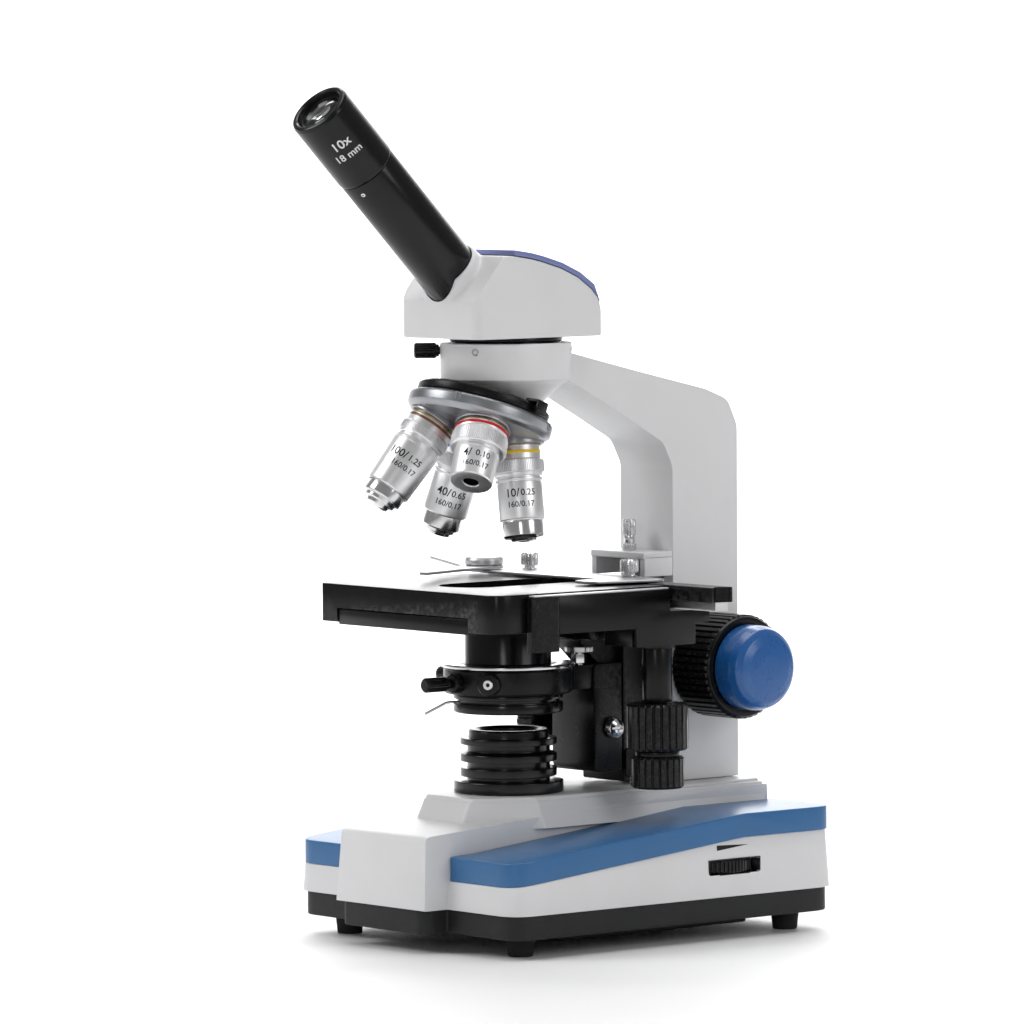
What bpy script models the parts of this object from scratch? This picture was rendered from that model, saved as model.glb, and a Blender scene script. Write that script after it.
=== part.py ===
"""A student compound microscope: lit base, cast arm, focusing stage, four-objective turret, inclined tube.

Metres, +Z up. While it is modelled, the optical axis is X = 0, Y = 0 and the table is Z = 0. The user
sits at -Y and the arm stands at +Y. At the end the whole model moves so that the origin is under the
middle of its box.
"""

import math

import bmesh
import bpy
from mathutils import Matrix, Vector

GAP = 0.0003  # between pieces that touch
SIDES = 28  # facets of a large round piece
SMALL_SIDES = 14  # facets of a small round piece
COLLAR_SIDES = 36  # facets of the collar, which has a slanting cut

# Base
FOOT_HEIGHT = 0.0079
FOOT_TOP_RADIUS = 0.0062
FOOT_TIP_RADIUS = 0.0052
FOOT_INSET = 0.0172
PLATE_BOTTOM = FOOT_HEIGHT + GAP
PLATE_THICKNESS = 0.0102
PLATE_INSET = 0.0018
TRAY_DEPTH = 0.0046
TRAY_MARGIN = 0.0190
BASE_HALF_WIDTH = 0.0750
BASE_FRONT = -0.0592
BASE_REAR = 0.1232
BASE_CORNER = 0.0120
NOSE_HALF_WIDTH = 0.0300
NOSE_LENGTH = 0.0120
WING_FRONT_TOP = 0.0308
WING_REAR_TOP = 0.0438
WING_LEVEL_FROM = 0.0700
PAD_THICKNESS = 0.0100
PAD_INSET = 0.0009
DECK_HALF_WIDTH = 0.0330
DECK_FRONT_TOP = 0.0490
DECK_REAR_TOP = 0.0600
PEDESTAL_TOP = 0.0628
PEDESTAL_HALF_WIDTH = 0.0290
PEDESTAL_FRONT = -0.0360
HOUSING_WALL = 0.0030

# Lamp and brightness dial
LAMP_BOTTOM = PEDESTAL_TOP + GAP
LAMP_HEIGHT = 0.0270
LAMP_FLANGE_RADIUS = 0.0236
LAMP_FLANGE_HEIGHT = 0.0049
LAMP_BODY_RADIUS = 0.0172
LAMP_RIB_RADIUS = 0.0208
LAMP_RIBS = 3
LAMP_RIB_HEIGHT = 0.0028
LAMP_BORE = 0.0130
LENS_RADIUS = 0.0126
DIAL_RADIUS = 0.0183
DIAL_THICKNESS = 0.0053
DIAL_PROUD = 0.0004
DIAL_Y = 0.0638
DIAL_Z = 0.0315
DIAL_RIBS = 26

# Arm
ARM_HALF_WIDTH = 0.0175
ARM_FRONT = 0.0788
ARM_REAR = 0.1162
ARM_SHOULDER_TOP = 0.2310
ARM_THROAT = 0.2080
COLLAR_TOP = 0.2560
COLLAR_BOTTOM = 0.2405
COLLAR_RADIUS = 0.0283
COLLAR_BORE = 0.0246
COLLAR_FLOOR = 0.2480
CONE_RADIUS = 0.0255
LIGHT_BORE = 0.0110
SLOT_HALF_WIDTH = 0.0112
SLOT_REAR = 0.1060
SLOT_TOP = 0.1580

# Turret: its axis leans forward from the point where all objective axes meet
APEX_Z = 0.2665
TURRET_TILT = math.radians(19.5)
TURRET_TURN = math.radians(31.0)  # turned this far off its click stop
SEAT_DISTANCE = 0.0560  # from the apex to an objective's shoulder
NOSE_DISC_RADIUS = 0.0288
NOSE_DISC_TOP = 0.0360
NOSE_DISC_BOTTOM = 0.0402
TURRET_RIM_RADIUS = 0.0315
TURRET_WALL = 0.0030
PIVOT_RADIUS = 0.0048
THREAD_RADIUS = 0.0101
FRONT_TRAVEL = 0.0020  # how far the sprung fronts give

# Head and tube, at 45 degrees
HEAD_BOTTOM = 0.2583
HEAD_HALF_WIDTH = 0.0260
HEAD_FRONT = -0.0372
HEAD_REAR = 0.0340
HEAD_CORNER = 0.0060
TRIM_THICKNESS = 0.0023
TUBE_ANGLE = math.radians(45.0)
TUBE_CROSS_Z = 0.2555  # the tube's axis meets the optical axis here
TUBE_RADIUS = 0.0131
TUBE_BORE = 0.01165
TUBE_START = 0.0345
TUBE_END = 0.1081
EYEPIECE_RADIUS = 0.01345
EYEPIECE_LENGTH = 0.0351
SLEEVE_RADIUS = 0.01155
SLEEVE_LENGTH = 0.0240

# Focusing drive
SHAFT_Y = 0.0985
SHAFT_Z = 0.1133
SHAFT_RADIUS = 0.0055
FINE_SHAFT_RADIUS = 0.0030
PINION_RADIUS = 0.0070
COARSE_RADIUS = 0.0227
COARSE_INNER = 0.0190
COARSE_OUTER = 0.0430
COARSE_RIBS = 30
FINE_RADIUS = 0.0185
FINE_LENGTH = 0.0160
COLUMN_HALF_WIDTH = 0.0140
COLUMN_FRONT = 0.0530
COLUMN_BOTTOM = 0.0642
COLUMN_TOP = 0.1460
TONGUE_HALF_WIDTH = 0.0105

# Stage
STAGE_TOP = 0.1523
STAGE_LEFT = -0.0620
STAGE_RIGHT = 0.0570
STAGE_FRONT = -0.0535
STAGE_REAR = 0.0393
STAGE_CORNER = 0.0090
SLAB_THICKNESS = 0.0103
SKIRT_BOTTOM = 0.1358
LOWER_TOP = 0.1416
LOWER_BOTTOM = 0.1348
LOWER_LEFT = -0.0500
LOWER_RIGHT = 0.0380
LOWER_REAR = 0.0600
RACK_TAB = 0.0090
SLOT_WIDTH = 0.0300
SLOT_LENGTH = 0.0680
DRIVE_X = 0.0515
DRIVE_Y = 0.0400
HOUSING_RIGHT = 0.0622
DRIVE_TUBE_RADIUS = 0.0065
DRIVE_TUBE_BOTTOM = 0.1023
Y_KNOB_RADIUS = 0.0134
Y_KNOB_BOTTOM = 0.0815
X_KNOB_RADIUS = 0.0115
X_KNOB_BOTTOM = 0.0652
X_KNOB_TOP = 0.0790
RAIL_FRONT = 0.0397
RAIL_DEPTH = 0.0118
RAIL_LEFT = -0.0620
RAIL_RIGHT = 0.0880
RAIL_TOP = 0.1528
RAIL_HEIGHT = 0.0067
RACK_LEFT = 0.0150
RACK_HEIGHT = 0.0039
HOLDER_THICKNESS = 0.0012
FINGER_X = -0.0570
FINGER_Y = 0.0340
HOLDER_SCREWS = (-0.0410, 0.0260)

# Condenser
RING_TOP = 0.1163
RING_BOTTOM = 0.1057
RING_RADIUS = 0.0278
RING_BORE = 0.0216
CONDENSER_DISC_RADIUS = 0.0287
CONDENSER_TOP = 0.1455
CONDENSER_RADIUS = 0.0186
CONDENSER_LOW_RADIUS = 0.0236
CONDENSER_BOTTOM = 0.0974
CARRIER_HALF_WIDTH = 0.0142
CARRIER_FRONT = 0.0360
CARRIER_BOTTOM = 0.0690
CONDENSER_SHAFT_Y = 0.0462
CONDENSER_SHAFT_Z = 0.0882

MATERIALS = {}
INLET_X = -0.0450
INLET_Z = 0.0260
INLET_RADIUS = 0.0045
LOCK_Z = 0.2526
LOCK_DIRECTION = (-0.638, -0.770, 0.0)
STOP_X = 0.0
STOP_Y = 0.0690
CONDENSER_STOP_X = 0.0105
CONDENSER_STOP_Y = 0.0310
IRIS_ANGLE = 236.0


def clear_scene():
    """Removes whatever the startup file holds."""
    for obj in list(bpy.data.objects):
        bpy.data.objects.remove(obj, do_unlink=True)


def material(name, colour, roughness, metallic=0.0, transmission=0.0):
    """A Principled material, made once and shared by name."""
    made = bpy.data.materials.new(name)
    made.use_nodes = True
    made.diffuse_color = (*colour, 1.0)
    shader = made.node_tree.nodes["Principled BSDF"]
    shader.inputs["Base Color"].default_value = (*colour, 1.0)
    shader.inputs["Roughness"].default_value = roughness
    shader.inputs["Metallic"].default_value = metallic
    shader.inputs["Transmission Weight"].default_value = transmission
    MATERIALS[name] = made


def make_materials():
    """Every finish on the instrument."""
    material("white_paint", (0.84, 0.84, 0.85), 0.35)
    material("black_paint", (0.018, 0.018, 0.020), 0.45)
    material("black_plastic", (0.025, 0.025, 0.027), 0.40)
    material("black_anodised", (0.015, 0.015, 0.017), 0.35, 0.4)
    material("blue_plastic", (0.060, 0.190, 0.440), 0.40)
    material("violet_plastic", (0.150, 0.170, 0.450), 0.40)
    material("blue_paint", (0.055, 0.180, 0.420), 0.30)
    material("rubber", (0.020, 0.020, 0.020), 0.85)
    material("satin_chrome", (0.620, 0.620, 0.630), 0.30, 1.0)
    material("bright_chrome", (0.780, 0.780, 0.790), 0.12, 1.0)
    material("grey_turret", (0.380, 0.390, 0.410), 0.40, 0.6)
    material("steel", (0.500, 0.500, 0.510), 0.35, 1.0)
    material("glass", (0.900, 0.950, 0.950), 0.05, 0.0, 0.9)
    material("circuit_board", (0.030, 0.200, 0.080), 0.50)


def place(name, bm, finish, location=(0, 0, 0), turn=None, parent=None):
    """Turns a bmesh into a named object with its material, facing outward and shaded smooth."""
    bmesh.ops.remove_doubles(bm, verts=bm.verts, dist=1e-7)
    bmesh.ops.recalc_face_normals(bm, faces=bm.faces)
    mesh = bpy.data.meshes.new(name)
    bm.to_mesh(mesh)
    bm.free()
    mesh.shade_smooth()
    mesh.set_sharp_from_angle(angle=math.radians(35))
    obj = bpy.data.objects.new(name, mesh)
    bpy.context.scene.collection.objects.link(obj)
    obj.location = location
    if turn is not None:
        obj.rotation_euler = turn.to_euler()
    if parent is not None:
        obj.parent = parent
    if finish is not None:
        mesh.materials.append(MATERIALS[finish])
    return obj


def turned_bm(profile, sides=SIDES):
    """A profile of (radius, height) points, top to bottom down its outer side, spun about Z."""
    bm = bmesh.new()
    verts = [bm.verts.new((radius, 0.0, height)) for radius, height in profile]
    edges = [bm.edges.new((a, b)) for a, b in zip(verts, verts[1:] + verts[:1])]
    bmesh.ops.spin(
        bm, geom=verts + edges, angle=math.tau, steps=sides, axis=(0, 0, 1), cent=(0, 0, 0), use_merge=True
    )
    bmesh.ops.dissolve_degenerate(bm, dist=1e-7, edges=bm.edges)
    return bm


def solid_profile(*outer):
    """Closes an outer profile onto the axis."""
    return [(0.0, outer[0][1]), *outer, (0.0, outer[-1][1])]


def turned(name, profile, finish, sides=SIDES, **where):
    """A turned piece."""
    return place(name, turned_bm(profile, sides), finish, **where)


def extruded_bm(outline, low, high, plane="xy"):
    """An outline of two-coordinate points made solid between low and high along the third axis."""
    order = {"xy": (0, 1, 2), "yz": (2, 0, 1), "xz": (0, 2, 1)}[plane]
    bm = bmesh.new()
    points = []
    for a, b in outline:
        coords = (a, b, low)
        points.append(bm.verts.new([coords[i] for i in order]))
    face = bm.faces.new(points)
    step = [(0.0, 0.0, high - low)[i] for i in order]
    grown = bmesh.ops.extrude_face_region(bm, geom=[face])["geom"]
    bmesh.ops.translate(bm, vec=step, verts=[v for v in grown if isinstance(v, bmesh.types.BMVert)])
    return bm


def extruded(name, outline, low, high, finish, plane="xy", **where):
    """An extruded piece."""
    return place(name, extruded_bm(outline, low, high, plane), finish, **where)


def box_bm(low, high):
    """A box between two corners."""
    outline = [(low[0], low[1]), (high[0], low[1]), (high[0], high[1]), (low[0], high[1])]
    return extruded_bm(outline, low[2], high[2])


def box(name, low, high, finish, **where):
    """A box-shaped piece."""
    return place(name, box_bm(low, high), finish, **where)


def rounded(corners, steps=5):
    """An outline whose corners (x, y, radius) are rounded with arcs."""
    outline = []
    count = len(corners)
    for index, (x, y, radius) in enumerate(corners):
        here = Vector((x, y))
        before = (Vector(corners[index - 1][:2]) - here).normalized()
        after = (Vector(corners[(index + 1) % count][:2]) - here).normalized()
        if radius <= 0.0:
            outline.append((x, y))
            continue
        half = before.angle(after) / 2
        reach = radius / math.tan(half)
        centre = here + (before + after).normalized() * (radius / math.sin(half))
        start = here + before * reach - centre
        end = here + after * reach - centre
        sweep = start.angle_signed(end)
        for step in range(steps + 1):
            arm = start.copy()
            arm.rotate(Matrix.Rotation(-sweep * step / steps, 2))
            outline.append(tuple(centre + arm))
    return outline


def rectangle(left, front, right, rear, radius=0.0, steps=5):
    """A rectangle's outline with equal round corners."""
    corners = [(left, front, radius), (right, front, radius), (right, rear, radius), (left, rear, radius)]
    return rounded(corners, steps)


def ribbed_outline(radius, ribs, depth):
    """The outline of a grip with straight ribs round it."""
    outline = []
    for index in range(ribs):
        for share, reach in ((0.0, radius), (0.55, radius), (0.62, radius - depth), (0.93, radius - depth)):
            angle = math.tau * (index + share) / ribs
            outline.append((reach * math.cos(angle), reach * math.sin(angle)))
    return outline


def helper(obj):
    """Hides an object that only cuts or joins."""
    obj.hide_render = True
    obj.display_type = "WIRE"
    return obj


def combine(obj, tool, operation):
    """Adds an exact Boolean."""
    change = obj.modifiers.new(operation.lower() + "_" + tool.name, "BOOLEAN")
    change.operation = operation
    change.solver = "EXACT"
    change.object = helper(tool)
    return obj


def cut(obj, bm, name, **where):
    """Removes a shape from a piece."""
    return combine(obj, place(obj.name + "_" + name, bm, None, **where), "DIFFERENCE")


def join(obj, bm, name, **where):
    """Adds a shape to a piece."""
    return combine(obj, place(obj.name + "_" + name, bm, None, **where), "UNION")


def keep(obj, bm, name, **where):
    """Keeps only what is also inside a shape."""
    return combine(obj, place(obj.name + "_" + name, bm, None, **where), "INTERSECT")


def cylinder_bm(radius, low, high, sides=SIDES):
    """A plain cylinder on Z, for cutting and joining."""
    return turned_bm(solid_profile((radius, high), (radius, low)), sides)


def along(direction):
    """The rotation that takes +Z to a direction."""
    return Vector((0, 0, 1)).rotation_difference(Vector(direction)).to_matrix()


# ---------------------------------------------------------------------------------------------------
# Base


def base_outline(inset):
    """The base in plan: two wings and a nose that stands out at the front."""
    half = BASE_HALF_WIDTH - inset
    front = BASE_FRONT + inset
    nose_front = BASE_FRONT - NOSE_LENGTH + inset
    nose_half = NOSE_HALF_WIDTH - inset
    rear = BASE_REAR - inset
    corner = BASE_CORNER - inset
    return rounded(
        [
            (-half, front, corner),
            (-nose_half, front, 0.0),
            (-nose_half, nose_front, 0.004),
            (nose_half, nose_front, 0.008),
            (nose_half, front, 0.0),
            (half, front, corner),
            (half, rear, corner),
            (-half, rear, corner),
        ]
    )


def wing_top(y, lift=0.0):
    """The height of the wings' top at y."""
    share = min(1.0, (y - BASE_FRONT) / (WING_LEVEL_FROM - BASE_FRONT))
    return WING_FRONT_TOP + (WING_REAR_TOP - WING_FRONT_TOP) * share + lift


def wing_side(low, lift):
    """The wings' side profile between a floor line and a lifted top line."""
    front = BASE_FRONT - 2 * NOSE_LENGTH
    rear = BASE_REAR + NOSE_LENGTH
    bottom = [(front, wing_top(front, low)), (WING_LEVEL_FROM, wing_top(WING_LEVEL_FROM, low))]
    bottom += [(rear, wing_top(rear, low))]
    top = [(rear, wing_top(rear, lift)), (WING_LEVEL_FROM, wing_top(WING_LEVEL_FROM, lift))]
    top += [(front, wing_top(front, lift))]
    return bottom + top


def deck_side(sink=0.0):
    """The raised middle of the base, from the side."""
    floor = PLATE_BOTTOM + PLATE_THICKNESS + GAP + 0.001
    nose = BASE_FRONT - NOSE_LENGTH
    return [
        (nose + sink, floor),
        (BASE_REAR - 0.003 - sink, floor),
        (BASE_REAR - 0.004 - sink, DECK_REAR_TOP - sink),
        (WING_LEVEL_FROM, DECK_REAR_TOP - sink),
        (nose + 0.003 + sink, DECK_FRONT_TOP - sink),
    ]


def pedestal_outline(grow):
    """The lamp's pedestal in plan: a blunt wedge in front, straight sides back to the arm."""
    half = PEDESTAL_HALF_WIDTH + grow
    front = PEDESTAL_FRONT - grow
    return rounded(
        [
            (-half, -0.008, 0.008),
            (-0.014, front, 0.010),
            (0.014, front, 0.010),
            (half, -0.008, 0.008),
            (half, BASE_REAR - 0.004, 0.003),
            (-half, BASE_REAR - 0.004, 0.003),
        ]
    )


def tapered_bm(low_outline, high_outline, low, high):
    """A solid between two outlines that have the same number of points."""
    bm = bmesh.new()
    below = [bm.verts.new((x, y, low)) for x, y in low_outline]
    above = [bm.verts.new((x, y, high)) for x, y in high_outline]
    bm.faces.new(below)
    bm.faces.new(above)
    for index in range(len(below)):
        after = (index + 1) % len(below)
        bm.faces.new((below[index], below[after], above[after], above[index]))
    return bm


def base_housing():
    """The white moulded housing: wings, nose, deck and pedestal, hollow and open underneath."""
    floor = PLATE_BOTTOM + PLATE_THICKNESS + GAP
    housing = extruded("base_housing", base_outline(0.0), floor, 0.080, "white_paint")
    below_wings = extruded_bm(wing_side(-0.060, -GAP), -0.1, 0.1, "yz")
    keep(housing, below_wings, "wings")
    deck_plan = [
        (-NOSE_HALF_WIDTH, BASE_FRONT - NOSE_LENGTH),
        (NOSE_HALF_WIDTH, BASE_FRONT - NOSE_LENGTH),
        (NOSE_HALF_WIDTH, BASE_FRONT + 0.002),
        (DECK_HALF_WIDTH, BASE_FRONT + 0.030),
        (DECK_HALF_WIDTH, BASE_REAR),
        (-DECK_HALF_WIDTH, BASE_REAR),
        (-DECK_HALF_WIDTH, BASE_FRONT + 0.030),
        (-NOSE_HALF_WIDTH, BASE_FRONT + 0.002),
    ]
    deck = place("base_housing_deck", extruded_bm(deck_side(), -0.1, 0.1, "yz"), None)
    keep(deck, extruded_bm(deck_plan, 0.0, 0.1), "plan")
    combine(housing, deck, "UNION")
    foot = DECK_FRONT_TOP - 0.002
    join(housing, tapered_bm(pedestal_outline(0.004), pedestal_outline(0.0), foot, PEDESTAL_TOP), "pedestal")
    hollow = base_outline(HOUSING_WALL + PLATE_INSET)
    cut(housing, extruded_bm(hollow, -0.01, WING_FRONT_TOP - HOUSING_WALL), "hollow")
    upper = rectangle(-DECK_HALF_WIDTH + 0.006, -0.030, DECK_HALF_WIDTH - 0.006, BASE_REAR - 0.012)
    cut(housing, extruded_bm(upper, 0.020, DECK_FRONT_TOP - 0.001), "deck_hollow")
    cut(housing, cylinder_bm(LAMP_BORE, 0.030, 0.070), "lamp_hole")
    slot_half = math.sqrt(DIAL_RADIUS**2 - (DIAL_RADIUS - DIAL_PROUD - HOUSING_WALL - PLATE_INSET) ** 2)
    slot_low = (BASE_HALF_WIDTH - 0.012, DIAL_Y - slot_half - 0.0022, DIAL_Z - DIAL_THICKNESS / 2 - 0.0005)
    slot_high = (BASE_HALF_WIDTH + 0.01, DIAL_Y + slot_half + 0.0022, DIAL_Z + DIAL_THICKNESS / 2 + 0.0005)
    cut(housing, box_bm(slot_low, slot_high), "dial_slot")
    pocket = cylinder_bm(DIAL_RADIUS + 0.0012, DIAL_Z - DIAL_THICKNESS / 2 - 0.0007, DIAL_Z + DIAL_THICKNESS / 2 + 0.0007)
    cut(housing, pocket, "dial_pocket", location=(dial_x(), DIAL_Y, 0))
    cut(
        housing,
        cylinder_bm(INLET_RADIUS + GAP, -0.02, 0.02, SMALL_SIDES),
        "inlet_hole",
        location=(INLET_X, BASE_REAR, INLET_Z),
        turn=along((0, 1, 0)),
    )
    return housing


def dial_x():
    """The dial's axis, set so that its rim stands just proud of the wall."""
    return BASE_HALF_WIDTH + DIAL_PROUD - DIAL_RADIUS


def base_plate():
    """The black floor plate with its shallow tray."""
    top = PLATE_BOTTOM + PLATE_THICKNESS
    plate = extruded("base_plate", base_outline(PLATE_INSET), PLATE_BOTTOM, top, "black_paint")
    half = BASE_HALF_WIDTH - TRAY_MARGIN + 0.004
    tray = rectangle(-half, BASE_FRONT + 2.2 * TRAY_MARGIN, half, BASE_REAR - 1.6 * TRAY_MARGIN, 0.004)
    join(plate, extruded_bm(tray, PLATE_BOTTOM - TRAY_DEPTH, PLATE_BOTTOM + 0.002), "tray")
    return plate


def feet():
    """Four tapered rubber feet."""
    for side, x in (("left", -1), ("right", 1)):
        for end, y in (("front", BASE_FRONT + FOOT_INSET), ("rear", BASE_REAR - FOOT_INSET + 0.001)):
            profile = solid_profile((FOOT_TOP_RADIUS, FOOT_HEIGHT), (FOOT_TIP_RADIUS, 0.0))
            where = (x * (BASE_HALF_WIDTH - FOOT_INSET), y, 0)
            turned(f"foot_{end}_{side}", profile, "rubber", SMALL_SIDES, location=where)


def wing_pads():
    """The blue caps on the two wings."""
    for name, side in (("wing_pad_left", -1), ("wing_pad_right", 1)):
        inner_front = NOSE_HALF_WIDTH + GAP
        inner = DECK_HALF_WIDTH + GAP
        outer = BASE_HALF_WIDTH - PAD_INSET
        corners = [
            (side * inner_front, BASE_FRONT + PAD_INSET, 0.0),
            (side * outer, BASE_FRONT + PAD_INSET, BASE_CORNER),
            (side * outer, BASE_REAR - PAD_INSET, BASE_CORNER),
            (side * inner, BASE_REAR - PAD_INSET, 0.0),
            (side * inner, BASE_FRONT + 0.030, 0.0),
            (side * inner_front, BASE_FRONT + 0.002, 0.0),
        ]
        pad = extruded(name, rounded(corners), 0.020, 0.080, "blue_plastic")
        keep(pad, extruded_bm(wing_side(0.0, PAD_THICKNESS), -0.1, 0.1, "yz"), "slope")


def lamp():
    """The ribbed lamp housing, its lens and the lit board below it."""
    top = LAMP_BOTTOM + LAMP_HEIGHT
    profile = [(LAMP_BODY_RADIUS, top)]
    spacing = (LAMP_HEIGHT - LAMP_FLANGE_HEIGHT - 0.0037) / LAMP_RIBS
    level = top - 0.0037
    for _ in range(LAMP_RIBS):
        profile += [(LAMP_BODY_RADIUS, level), (LAMP_RIB_RADIUS, level)]
        profile += [(LAMP_RIB_RADIUS, level - LAMP_RIB_HEIGHT), (LAMP_BODY_RADIUS, level - LAMP_RIB_HEIGHT)]
        level -= spacing
    flange = LAMP_BOTTOM + LAMP_FLANGE_HEIGHT
    profile += [(LAMP_BODY_RADIUS, flange), (LAMP_FLANGE_RADIUS, flange), (LAMP_FLANGE_RADIUS, LAMP_BOTTOM)]
    seat = LENS_RADIUS - 0.0012
    profile += [(LAMP_BORE, LAMP_BOTTOM), (LAMP_BORE, top - 0.010), (seat, top - 0.010)]
    profile += [(seat, top - 0.0085), (LENS_RADIUS + GAP, top - 0.0085), (LENS_RADIUS + GAP, top)]
    turned("lamp_housing", profile, "black_anodised")
    lens = [(0.0, top - 0.0030), (0.006, top - 0.0035), (0.010, top - 0.0050), (LENS_RADIUS, top - 0.0072)]
    lens += [(LENS_RADIUS, top - 0.0082), (0.0, top - 0.0082)]
    turned("collector_lens", lens, "glass")
    board = [(0.0, 0.0595), (0.004, 0.0595), (0.004, 0.0575), (LAMP_BORE - 0.0012, 0.0575)]
    board += [(LAMP_BORE - 0.0012, 0.0560), (0.0, 0.0560)]
    turned("led_board", board, "circuit_board", SMALL_SIDES)


def dial():
    """The brightness wheel in the right wall."""
    outline = ribbed_outline(DIAL_RADIUS, DIAL_RIBS, 0.0006)
    half = DIAL_THICKNESS / 2
    extruded("brightness_dial", outline, -half, half, "black_plastic", location=(dial_x(), DIAL_Y, DIAL_Z))


def inlet():
    """The low-voltage inlet in the rear wall."""
    profile = [(INLET_RADIUS, 0.0), (INLET_RADIUS, -0.011), (0.0012, -0.011), (0.0012, -0.009)]
    profile += [(INLET_RADIUS - 0.0012, -0.009), (INLET_RADIUS - 0.0012, 0.0)]
    where = (INLET_X, BASE_REAR, INLET_Z)
    turned("power_inlet", profile, "black_plastic", SMALL_SIDES, location=where, turn=along((0, 1, 0)))


# ---------------------------------------------------------------------------------------------------
# Arm, collar and turret


def arm_side():
    """The arm from the side: a column that leans forward into the collar."""
    bottom = PEDESTAL_TOP + GAP
    return rounded(
        [
            (ARM_FRONT, bottom, 0.0),
            (ARM_REAR, bottom, 0.0),
            (ARM_REAR, ARM_SHOULDER_TOP, 0.014),
            (0.010, 0.2542, 0.0),
            (0.010, 0.2460, 0.0),
            (ARM_FRONT, ARM_THROAT, 0.014),
        ]
    )


def turret_axis():
    """The direction of the turret's axis, down and forward."""
    return Vector((0, -math.sin(TURRET_TILT), -math.cos(TURRET_TILT)))


def turret_point(distance):
    """A point on the turret's axis this far from the apex."""
    return Vector((0, 0, APEX_Z)) + turret_axis() * distance


def upward_frame():
    """The rotation that takes -Z to the turret's axis, so local heights are minus the distance."""
    return Matrix.Rotation(-TURRET_TILT, 3, "X")


def objective_direction(place_index):
    """The direction of one of the four objectives, a quarter turn apart."""
    angle = TURRET_TURN + place_index * math.tau / 4
    across = Vector((1, 0, 0)) * math.sin(angle)
    across += Vector((0, math.cos(TURRET_TILT), -math.sin(TURRET_TILT))) * math.cos(angle)
    return turret_axis() * math.cos(TURRET_TILT) + across * math.sin(TURRET_TILT)


def arm():
    """The white cast arm with its collar, bored for the light and slotted for the focusing slide."""
    body = extruded("arm", arm_side(), -ARM_HALF_WIDTH, ARM_HALF_WIDTH, "white_paint", "yz")
    collar = [(COLLAR_RADIUS, COLLAR_TOP), (COLLAR_RADIUS, COLLAR_BOTTOM), (CONE_RADIUS, COLLAR_BOTTOM - 0.0006)]
    collar += [(CONE_RADIUS - 0.0045, 0.2310), (0.0140, 0.2160)]
    join(body, turned_bm(solid_profile(*collar), COLLAR_SIDES), "collar")
    cut(body, cylinder_bm(COLLAR_BORE, COLLAR_FLOOR, 0.27), "socket")
    cut(body, cylinder_bm(LIGHT_BORE, 0.20, 0.27), "light_bore")
    below = box_bm((-0.05, -0.08, -0.12), (0.05, 0.056, -NOSE_DISC_TOP + GAP))
    cut(body, below, "nose_plane", location=(0, 0, APEX_Z), turn=upward_frame())
    slot_low = (-SLOT_HALF_WIDTH, ARM_FRONT - 0.01, PEDESTAL_TOP - 0.01)
    cut(body, box_bm(slot_low, (SLOT_HALF_WIDTH, SLOT_REAR, SLOT_TOP)), "slide_slot")
    bore = cylinder_bm(SHAFT_RADIUS + GAP, -0.03, 0.03, SMALL_SIDES)
    cut(body, bore, "shaft_bore", location=(0, SHAFT_Y, SHAFT_Z), turn=along((1, 0, 0)))
    hole = cylinder_bm(0.0022, 0.020, 0.040, SMALL_SIDES)
    cut(body, hole, "lock_hole", location=(0, 0, LOCK_Z), turn=along(LOCK_DIRECTION))
    return body


def head_lock_screw():
    """The knurled thumb screw that clamps the head in its collar."""
    grip = ribbed_outline(0.0034, 10, 0.0003)
    screw = place(
        "head_lock_screw",
        extruded_bm(grip, COLLAR_RADIUS + GAP, COLLAR_RADIUS + 0.0111),
        "black_plastic",
        location=(0, 0, LOCK_Z),
        turn=along(LOCK_DIRECTION),
    )
    join(screw, cylinder_bm(0.0018, COLLAR_BORE + GAP, COLLAR_RADIUS + 0.002, 12), "shank", location=(0, 0, LOCK_Z), turn=along(LOCK_DIRECTION))


def nosepiece():
    """The black fixed disc, its detent spring and the turning grey turret."""
    frame = {"location": (0, 0, APEX_Z), "turn": upward_frame()}
    profile = [(NOSE_DISC_RADIUS, -NOSE_DISC_TOP), (NOSE_DISC_RADIUS, -NOSE_DISC_BOTTOM)]
    profile += [(PIVOT_RADIUS + GAP, -NOSE_DISC_BOTTOM), (PIVOT_RADIUS + GAP, -NOSE_DISC_TOP)]
    disc = turned("nosepiece_base", profile, "black_paint", **frame)
    cut(disc, cylinder_bm(LIGHT_BORE - 0.002, 0.20, 0.25, SMALL_SIDES), "light_hole")
    clip = rectangle(NOSE_DISC_RADIUS - 0.004, 0.002, NOSE_DISC_RADIUS + 0.0030, 0.009)
    extruded("click_spring", clip, -NOSE_DISC_TOP + GAP, -NOSE_DISC_TOP + 0.0016, "black_paint", **frame)
    rim = NOSE_DISC_BOTTOM + GAP
    outer = [(0.0290, -rim), (TURRET_RIM_RADIUS, -rim - 0.0035), (TURRET_RIM_RADIUS, -rim - 0.0060)]
    outer += [(0.0280, -0.0490), (0.0090, -0.0540), (0.0, -0.0540)]
    inner = [(0.0, -NOSE_DISC_TOP), (PIVOT_RADIUS, -NOSE_DISC_TOP), (PIVOT_RADIUS, -0.0512)]
    inner += [(0.0090, -0.0512), (0.0250, -0.0468), (0.0255, -rim)]
    turret = turned("turret", inner + outer, "grey_turret", **frame)
    for index in range(4):
        turn = along(objective_direction(index))
        where = (0, 0, APEX_Z)
        join(turret, cylinder_bm(0.0121, SEAT_DISTANCE - 0.0058, SEAT_DISTANCE - GAP, 22), f"boss_{index}", location=where, turn=turn)
        cut(turret, cylinder_bm(THREAD_RADIUS + GAP, 0.0468, 0.07, 20), f"thread_{index}", location=where, turn=turn)


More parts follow.
